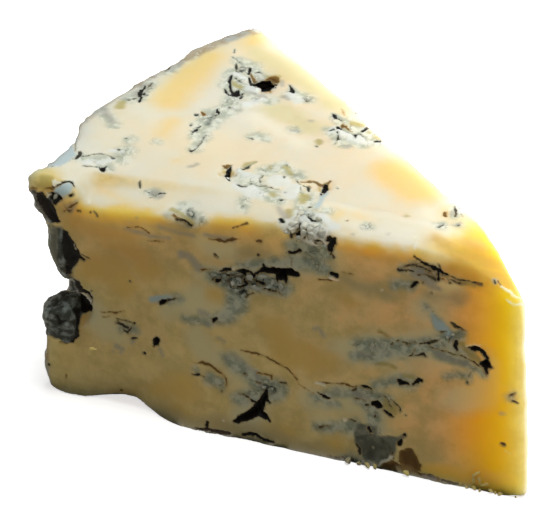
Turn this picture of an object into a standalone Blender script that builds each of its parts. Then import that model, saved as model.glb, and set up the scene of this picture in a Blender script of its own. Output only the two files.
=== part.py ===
"""A wedge of blue cheese, cut from a wheel 200 mm across: one solid piece.

Metres, +Z up. The wedge rests on its flat underside at z = 0, its point looks along +X and the wheel's
old outside, the rind side, faces -X. The origin is under the middle of the wedge.

Seen from above, the two long sides are knife cuts that would meet on the wheel's own axis, which stands
at (AXIS_X, AXIS_Y). The near cut (-Y) is called the front and the far cut (+Y) the back. A place on the front is
given as (along, depth, z): along runs from the rind corner towards the point, depth runs into the cheese.
"""

from math import asin, atan2, cos, pi, radians, sin

import bmesh
import bpy
from mathutils import Matrix, Vector, noise

MM = 0.001

# Driving dimensions. The wheel was a little out of round, so the rind bulges towards the back.
WHEEL_RADIUS = 100 * MM
RIND_BULGE = 2.3 * MM
FRONT_ANGLE = radians(19.7)
BACK_ANGLE = radians(20.4)
HEIGHT = 52 * MM
AXIS_X = 50 * MM
AXIS_Y = -1.2 * MM

# Rounding of the edges and corners. The top edge is worn more over the front than elsewhere.
POINT_ROUND = 1.4 * MM
RIND_CORNER_ROUND = 2.6 * MM
TOP_ROUND_HEIGHT = 3.6 * MM
FRONT_TOP_ROUND = 4.0 * MM
OTHER_TOP_ROUND = 1.5 * MM
POINT_TOP_ROUND = 0.8 * MM
FOOT_ROUND = 0.8 * MM

# How fine the faces are.
SIDE_STEPS = 30
RIND_STEPS = 28
CORNER_STEPS = 4
UPRIGHT_STEPS = 14
ROUND_STEPS = 4
BALL_DETAIL = 2
TOP_RING_SHARES = (0.96, 0.91, 0.85, 0.77, 0.67, 0.55, 0.41, 0.27, 0.13)

# Wear of the cut block.
FOOT_FLARE = 2.6 * MM
CHIP_DEPTH = 3.0 * MM
RIND_CHIP_DEPTH = 2.4 * MM
BACK_STEP = 1.1 * MM
TONGUE = 1.1 * MM
POINT_DROOP = 12 * MM
POINT_DROOP_REACH = 22 * MM
POINT_DROOP_POWER = 2.0
SHOULDER_DIP = 3.4 * MM
UNEVENNESS = 0.35 * MM
RIND_UNEVENNESS = 1.0 * MM

PASTE_COLOUR = (0.80, 0.66, 0.38, 1.0)


def direction(angle):
    """The unit vector at this angle in plan, anticlockwise from +X."""
    return Vector((cos(angle), sin(angle)))


AXIS = Vector((AXIS_X, AXIS_Y))
RIND_CORNER = AXIS + WHEEL_RADIUS * direction(pi + FRONT_ANGLE)
ALONG = direction(FRONT_ANGLE)
OUTWARD = direction(FRONT_ANGLE - pi / 2)
BACK_OUTWARD = direction(pi / 2 - BACK_ANGLE)
TOP_MIDDLE = AXIS - Vector((64 * MM, 0.0))
FLAT = Vector((0.0, 0.0))


def on_front(along, depth, z):
    """A point given in millimetres from the rind corner, into the cheese, and above the underside."""
    plan = RIND_CORNER + (ALONG * along - OUTWARD * depth) * MM
    return Vector((plan.x, plan.y, z * MM))


def on_top(from_axis, sideways):
    """A point at the fresh-cut height, given in millimetres towards -X and +Y from the wheel's axis."""
    return Vector((AXIS.x - from_axis * MM, AXIS.y + sideways * MM, HEIGHT))


def smooth_step(value, low, high):
    """0 below low, 1 above high, and an even S between them. low may be the larger one."""
    share = min(1.0, max(0.0, (value - low) / (high - low)))
    return share * share * (3 - 2 * share)


def bump(value, middle, reach_down, reach_up):
    """1 at the middle, falling smoothly to 0 at either reach."""
    reach = reach_down if value < middle else reach_up
    return 1 - smooth_step(abs(value - middle), 0.0, reach)


def between(start, end, steps):
    """steps evenly spaced values from start up to, but not including, end."""
    return [start + (end - start) * i / steps for i in range(steps)]


# --- the outline in plan ---------------------------------------------------------------------------


def rind_radius(around_axis):
    """The rind's distance from the axis at this angle from -X, which grows towards the back."""
    return WHEEL_RADIUS + RIND_BULGE * smooth_step(around_axis, radians(-2), radians(15))


def outline(flare):
    """(point, outward normal) round the wedge, anticlockwise from the rind end of the front cut.

    flare is how far the front cut stands out at the point. It stands out by nothing at the rind corner.
    """
    front_normal = FRONT_ANGLE - pi / 2
    back_normal = pi / 2 - BACK_ANGLE
    front_reach = rind_radius(-FRONT_ANGLE) - RIND_CORNER_ROUND
    back_reach = rind_radius(BACK_ANGLE) - RIND_CORNER_ROUND
    front_edge = FRONT_ANGLE - asin(RIND_CORNER_ROUND / front_reach)
    back_edge = BACK_ANGLE - asin(RIND_CORNER_ROUND / back_reach)
    front_corner = AXIS + front_reach * direction(pi + front_edge)
    back_corner = AXIS + back_reach * direction(pi - back_edge)
    point_angle = FRONT_ANGLE + BACK_ANGLE
    out = flare - POINT_ROUND
    point_centre = AXIS + Vector((
        (out * cos(BACK_ANGLE) - POINT_ROUND * cos(FRONT_ANGLE)) / sin(point_angle),
        (-out * sin(BACK_ANGLE) - POINT_ROUND * sin(FRONT_ANGLE)) / sin(point_angle),
    ))

    def arc(centre, radius, start, end):
        return [(centre + radius * direction(a), direction(a)) for a in between(start, end, CORNER_STEPS)]

    def side(start, end, normal):
        return [(start.lerp(end, t), direction(normal)) for t in between(0.0, 1.0, SIDE_STEPS)]

    def rind(start, end):
        angles = between(start, end, RIND_STEPS)
        return [(AXIS + rind_radius(pi - a) * direction(a), direction(a)) for a in angles]

    front_start = front_corner + RIND_CORNER_ROUND * direction(front_normal)
    front_end = point_centre + POINT_ROUND * direction(front_normal)
    back_start = point_centre + POINT_ROUND * direction(back_normal)
    back_end = back_corner + RIND_CORNER_ROUND * direction(back_normal)
    return (
        side(front_start, front_end, front_normal)
        + arc(point_centre, POINT_ROUND, front_normal, back_normal)
        + side(back_start, back_end, back_normal)
        + arc(back_corner, RIND_CORNER_ROUND, back_normal, pi - back_edge)
        + rind(pi - back_edge, pi + front_edge)
        + arc(front_corner, RIND_CORNER_ROUND, pi + front_edge, 2 * pi + front_normal)
    )


def profile():
    """(height, foot inset, share of the top rounding) up the side and over the top edge."""
    foot = [
        (FOOT_ROUND * (1 - cos(a)), FOOT_ROUND * (1 - sin(a)), 0.0) for a in between(0.0, pi / 2, 2)
    ]
    upright = [(z, 0.0, 0.0) for z in between(FOOT_ROUND, HEIGHT - TOP_ROUND_HEIGHT, UPRIGHT_STEPS)]
    shoulder = [
        (HEIGHT - TOP_ROUND_HEIGHT * (1 - sin(a)), 0.0, 1 - cos(a))
        for a in between(0.0, pi / 2, ROUND_STEPS)
    ]
    return foot + upright + shoulder + [(HEIGHT, 0.0, 1.0)]


def top_round(point, normal):
    """How far in from the side the top rounding starts, at this place of the outline."""
    past_corner = smooth_step((point - RIND_CORNER).dot(ALONG), 2 * MM, 18 * MM)
    front = smooth_step(normal.dot(OUTWARD), 0.2, 0.95) * past_corner
    wide = OTHER_TOP_ROUND + (FRONT_TOP_ROUND - OTHER_TOP_ROUND) * front
    tight = smooth_step(point.x, 22 * MM, 46 * MM)
    return wide + (POINT_TOP_ROUND - wide) * tight


# --- how the block has worn and settled ------------------------------------------------------------


def flare_at(z):
    """The front cut leans out towards its foot."""
    return FOOT_FLARE * (1 - z / HEIGHT)


def worn_foot(p, normal):
    """Takes the flare's even taper to full width by 32 mm along, and chips the foot near the rind."""
    along = (p.xy - RIND_CORNER).dot(ALONG)
    front = smooth_step(normal.dot(OUTWARD), 0.0, 0.9)
    taper = smooth_step(along, 22 * MM, 32 * MM) - along / WHEEL_RADIUS
    chip = CHIP_DEPTH * bump(along, 17.5 * MM, 9 * MM, 7 * MM) * smooth_step(p.z, 8 * MM, 0.0)
    shift = OUTWARD * (flare_at(p.z) * taper - chip) * front
    return Vector((shift.x, shift.y, 0.0))


def chipped_rind(p, normal):
    """The rind's upper edge is broken back near its front end."""
    around_axis = atan2(p.y - AXIS.y, AXIS.x - p.x)
    start = smooth_step(around_axis, radians(-19.7), radians(-17.5))
    end = smooth_step(around_axis, radians(-9.0), radians(-11.5))
    rind = smooth_step(normal.dot(direction(pi)), 0.8, 0.93)
    depth = RIND_CHIP_DEPTH * start * end * rind * smooth_step(p.z, 18 * MM, 40 * MM)
    return normal.to_3d() * -depth


def drawn_out_tongue(p, normal):
    """The top's front rind corner overhangs the crumbled corner below it."""
    outward = direction(FRONT_ANGLE - 3 * pi / 4)
    corner = smooth_step(normal.dot(outward), 0.72, 0.96)
    return outward.to_3d() * TONGUE * corner * smooth_step(p.z, 44 * MM, 48 * MM)


def stepped_back(p, normal):
    """The back cut steps out for its last 40 mm before the rind, more at the top than at the foot."""
    from_point = (AXIS - p.xy).length
    rind_part = smooth_step(from_point, 59 * MM, 65 * MM)
    back = smooth_step(normal.dot(BACK_OUTWARD), 0.3, 0.95)
    return normal.to_3d() * BACK_STEP * rind_part * back * smooth_step(p.z, 6 * MM, 36 * MM)


def settled_top(p):
    """The top sinks to a low shoulder over the front near the rind, and droops round the point."""
    plan = p.xy - RIND_CORNER
    to_axis = (AXIS - p.xy).length
    droop = POINT_DROOP * max(0.0, 1 - to_axis / POINT_DROOP_REACH) ** POINT_DROOP_POWER
    near_front = smooth_step(plan.dot(OUTWARD), -20 * MM, -1 * MM)
    dip = SHOULDER_DIP * bump(plan.dot(ALONG), 14 * MM, 13 * MM, 30 * MM) * near_front
    swell = 0.6 * MM * noise.noise((p.xy - AXIS).to_3d() / (24 * MM))
    near_top = smooth_step(p.z, HEIGHT * 0.45, HEIGHT)
    return Vector((0.0, 0.0, (swell - droop - dip) * near_top))


def uneven_side(p, normal):
    """Slow waves over the cuts and deeper ones over the rind side, none on the flat underside."""
    rind = smooth_step((AXIS - p.xy).length, WHEEL_RADIUS - 4 * MM, WHEEL_RADIUS - 1 * MM)
    size = UNEVENNESS + (RIND_UNEVENNESS - UNEVENNESS) * rind
    wave = noise.noise(p / (11 * MM)) + 0.5 * noise.noise(p / (5 * MM) + Vector((7.0, 3.0, 1.0)))
    above_foot = smooth_step(p.z, 0.0, 4 * MM)
    return normal.to_3d() * size * wave * above_foot


def worn(p, normal):
    """The place of a point of the fresh-cut block after all its wear. The underside stays flat."""
    front = worn_foot(p, normal) + drawn_out_tongue(p, normal)
    others = chipped_rind(p, normal) + stepped_back(p, normal)
    return p + front + others + settled_top(p) + uneven_side(p, normal)


# --- the block -------------------------------------------------------------------------------------


def join_rings(bm, lower, upper):
    count = len(lower)
    for i in range(count):
        j = (i + 1) % count
        bm.faces.new((lower[i], lower[j], upper[j], upper[i]))


def side_ring(bm, z, foot_inset, top_share):
    """One level of the sides."""
    made = []
    for point, normal in outline(flare_at(z)):
        plan = point - normal * (foot_inset + top_share * top_round(point, normal))
        made.append(bm.verts.new(worn(plan.to_3d() + Vector((0.0, 0.0, z)), normal)))
    return made


def top_ring(bm, share):
    """One ring of the top, drawn in towards its middle. A share of 1 would lie on the last side ring."""
    made = []
    for point, normal in outline(0.0):
        edge = point - normal * top_round(point, normal)
        plan = TOP_MIDDLE + (edge - TOP_MIDDLE) * share
        made.append(bm.verts.new(worn(plan.to_3d() + Vector((0.0, 0.0, HEIGHT)), FLAT)))
    return made


def make_block():
    """The worn wedge without its hollows: stacked rings, a flat underside and a top of closing rings."""
    bm = bmesh.new()
    rings = [side_ring(bm, *level) for level in profile()]
    rings += [top_ring(bm, share) for share in TOP_RING_SHARES]
    for lower, upper in zip(rings, rings[1:]):
        join_rings(bm, lower, upper)
    bm.faces.new(reversed(rings[0]))
    peak = bm.verts.new(worn(TOP_MIDDLE.to_3d() + Vector((0.0, 0.0, HEIGHT)), FLAT))
    last = rings[-1]
    for i, vert in enumerate(last):
        bm.faces.new((vert, last[(i + 1) % len(last)], peak))

    mesh = bpy.data.meshes.new("wedge")
    bm.to_mesh(mesh)
    bm.free()
    block = bpy.data.objects.new("wedge", mesh)
    bpy.context.scene.collection.objects.link(block)
    return block


# --- hollows and lumps -----------------------------------------------------------------------------

FACE_FRAME = Matrix((
    (ALONG.x, -OUTWARD.x, 0.0),
    (ALONG.y, -OUTWARD.y, 0.0),
    (0.0, 0.0, 1.0),
))  # turns (along, depth, up) into the part's own axes

# The corridor that the two notches of the rind corner follow: back, to the rind side, and down.
CORRIDOR = (-0.26, 0.77, -0.58)


def lumpy_ball(name, centre, radii, seed, tilt=0.0, toward=None, roughness=0.16):
    """A closed, knobbly ball. radii are (along, depth, up) in millimetres, tilt turns it in the front's
    plane, and toward, in (along, depth, up), turns its depth axis that way instead."""
    bm = bmesh.new()
    bmesh.ops.create_icosphere(bm, subdivisions=BALL_DETAIL, radius=1.0)
    stretch = Matrix.Diagonal(Vector(radii) * MM)
    if toward is None:
        turn = Matrix.Rotation(radians(-tilt), 3, "Y")
    else:
        turn = Vector((0.0, 1.0, 0.0)).rotation_difference(Vector(toward)).to_matrix()
    for vert in bm.verts:
        knob = noise.noise(vert.co * 1.7 + Vector((seed * 3.1, seed, -seed)))
        vert.co = FACE_FRAME @ turn @ stretch @ (vert.co * (1 + roughness * 2 * knob))
    mesh = bpy.data.meshes.new(name)
    bm.to_mesh(mesh)
    bm.free()
    ball = bpy.data.objects.new(name, mesh)
    ball.location = centre
    ball.hide_render = True
    ball.display_type = "WIRE"
    bpy.context.scene.collection.objects.link(ball)
    return ball


def apply_to(block, ball, operation):
    """Adds or takes away one closed ball. The exact solver loses the block where a lump meets a hollow."""
    step = block.modifiers.new(ball.name, "BOOLEAN")
    step.operation = operation
    step.solver = "MANIFOLD"
    step.object = ball


def open_rind_corner(block):
    """The crumbled corner between the front and the rind: hollows, two notches and two mould lumps."""
    hollows = (
        ("corner_notch", (-1.0, 4.0, 25.8), (8.4, 17.0, 6.5), {"toward": CORRIDOR}),
        ("upper_notch", (-3.0, 3.0, 36.6), (6.4, 9.0, 6.2), {"toward": CORRIDOR}),
        ("under_tongue", (4.0, 0.2, 44.4), (2.2, 3.2, 4.2), {"tilt": -24}),
        ("beside_upper_lump", (8.0, 1.0, 35.4), (2.0, 4.4, 4.8), {"tilt": 16}),
        ("round_lower_lump", (5.8, 0.0, 20.8), (5.2, 4.4, 7.0), {"tilt": -21}),
    )
    for seed, (name, place, radii, turn) in enumerate(hollows):
        apply_to(block, lumpy_ball(name, on_front(*place), radii, seed + 1, **turn), "DIFFERENCE")
    lumps = (
        ("upper_lump", (4.7, 3.0, 32.4), (2.4, 3.2, 6.8), {"tilt": 15, "roughness": 0.1}),
        ("lower_lump", (4.2, 2.4, 18.0), (3.9, 4.2, 5.0), {"tilt": -10, "roughness": 0.22}),
    )
    for seed, (name, place, radii, turn) in enumerate(lumps):
        apply_to(block, lumpy_ball(name, on_front(*place), radii, seed + 11, **turn), "UNION")


def open_front(block):
    """The hollows that the knife opened in the front cut."""
    hollows = (
        ("long_hollow_near", (40.6, 0.2, 38.8), (3.4, 3.0, 1.0), 6),
        ("long_hollow_middle", (46.0, 0.4, 39.5), (4.4, 4.0, 1.3), 12),
        ("long_hollow_far", (51.6, 0.3, 40.8), (3.8, 4.4, 1.4), 4),
        ("star_body", (45.8, -0.6, 8.2), (2.3, 4.6, 2.0), 20),
        ("star_low_arm", (43.0, -1.2, 5.4), (1.3, 3.6, 2.6), 42),
        ("star_right_arm", (48.6, -1.2, 6.6), (1.9, 3.4, 1.0), 30),
        ("star_high_arm", (47.9, -0.6, 11.2), (1.0, 3.4, 2.4), 18),
        ("crescent_top", (89.6, -0.2, 31.6), (1.9, 3.0, 0.9), 8),
        ("crescent_bow", (91.2, -0.6, 29.2), (0.9, 3.4, 2.5), 6),
        ("foot_recess", (69.6, -3.2, 4.4), (4.6, 2.4, 4.6), 20),
        ("foot_hollow", (77.6, -0.9, 3.4), (1.9, 4.6, 2.9), -30),
    )
    for seed, (name, place, radii, tilt) in enumerate(hollows):
        ball = lumpy_ball(name, on_front(*place), radii, seed + 21, tilt=tilt, roughness=0.22)
        apply_to(block, ball, "DIFFERENCE")


def open_top(block):
    """The hollows in the top: (from the axis, sideways), depth and (x, y) radii, in millimetres."""
    hollows = (
        ("far_hole", (79.2, 19.2), 4.6, (1.9, 2.4)),
        ("far_hole_tail", (77.6, 17.2), 3.0, (1.4, 1.2)),
        ("far_crescent", (83.2, 12.4), 2.0, (2.2, 1.0)),
        ("middle_hole", (64.6, -10.4), 3.2, (1.9, 1.1)),
        ("near_hole", (46.6, -3.0), 2.6, (1.2, 2.0)),
    )
    for seed, (name, place, depth, (across, away)) in enumerate(hollows):
        ball = lumpy_ball(name, on_top(*place), (across, away, depth), seed + 41, roughness=0.22)
        apply_to(block, ball, "DIFFERENCE")


def paste_material():
    """Buttery cut cheese."""
    paste = bpy.data.materials.new("paste")
    paste.use_nodes = True
    surface = paste.node_tree.nodes["Principled BSDF"]
    surface.inputs["Base Color"].default_value = PASTE_COLOUR
    surface.inputs["Roughness"].default_value = 0.5
    surface.inputs["Metallic"].default_value = 0.0
    return paste


def main():
    for old in list(bpy.data.objects):
        bpy.data.objects.remove(old)
    wedge = make_block()
    open_rind_corner(wedge)
    open_front(wedge)
    open_top(wedge)
    wedge.data.materials.append(paste_material())
    wedge.data.shade_smooth()


main()
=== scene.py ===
"""The looks of a wedge of blue cheese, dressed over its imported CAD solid.

Lengths are in mm unless a name says otherwise. A pair of numbers with no other note is a ramp: it is 0 at the
first number and 1 at the second.
"""

import math

import bmesh
import bpy
import numpy as np
from mathutils import Matrix, Vector
from mathutils.bvhtree import BVHTree


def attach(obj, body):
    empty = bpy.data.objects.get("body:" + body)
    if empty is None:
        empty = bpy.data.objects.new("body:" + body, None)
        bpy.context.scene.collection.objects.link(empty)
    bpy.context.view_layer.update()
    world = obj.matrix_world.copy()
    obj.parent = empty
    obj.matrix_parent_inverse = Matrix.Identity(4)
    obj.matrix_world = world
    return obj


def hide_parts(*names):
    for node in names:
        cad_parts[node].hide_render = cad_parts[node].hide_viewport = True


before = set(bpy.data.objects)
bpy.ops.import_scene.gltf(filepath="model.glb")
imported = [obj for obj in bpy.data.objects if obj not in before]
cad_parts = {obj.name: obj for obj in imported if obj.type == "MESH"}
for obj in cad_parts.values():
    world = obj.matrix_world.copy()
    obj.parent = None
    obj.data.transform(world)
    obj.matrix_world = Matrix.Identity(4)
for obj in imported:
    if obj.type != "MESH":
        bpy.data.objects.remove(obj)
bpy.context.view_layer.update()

MM = 0.001

# ---------------------------------------------------------------- where the faces of the wedge are

HEIGHT = 52.0
WHEEL_RADIUS = 100.0
POINT = np.array((50.0, -1.2))            # the thin end, on the axis of the wheel
RIND_CORNER = np.array((-44.15, -34.91))  # where the front cut meets the rind
ALONG = np.array((0.9415, 0.3371))        # along the front cut, from the rind to the point
OUTWARD = np.array((0.3371, -0.9415))     # straight out of the front cut
BACK_ANGLE = math.radians(20.4)
BACK_ALONG = np.array((math.cos(BACK_ANGLE), -math.sin(BACK_ANGLE)))
BACK_OUTWARD = np.array((math.sin(BACK_ANGLE), math.cos(BACK_ANGLE)))

# Marks on the front and the top are laid along this slanting line, so one mark can run over the edge between
# them.
LAID_FROM = np.array((0.507, -0.637, 0.581))
TONGUE_END = np.array((-47.0, -35.0, 49.0))   # the corner that sticks out above the upper lump, bare of rind
RIND_BARE = (8.0, 4.0)
NECK = np.array((-41.5, -31.0, 28.0))     # the dark neck between the two lumps
NECK_REACH = (5.5, 3.5)
FRONT_LEAN = 2.6                          # how far the front cut stands out at its foot
FRONT_SLANT = np.array((0.329, 0.726))    # how far a mark moves for each mm under the front cut
TOP_SLANT = LAID_FROM[:2] / LAID_FROM[2]  # and for each mm under the top

# ---------------------------------------------------------------- marks of the front cut
# A mark is a line of points (along, height, half width). With points (along, height) only, it is a closed
# outline.

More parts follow.
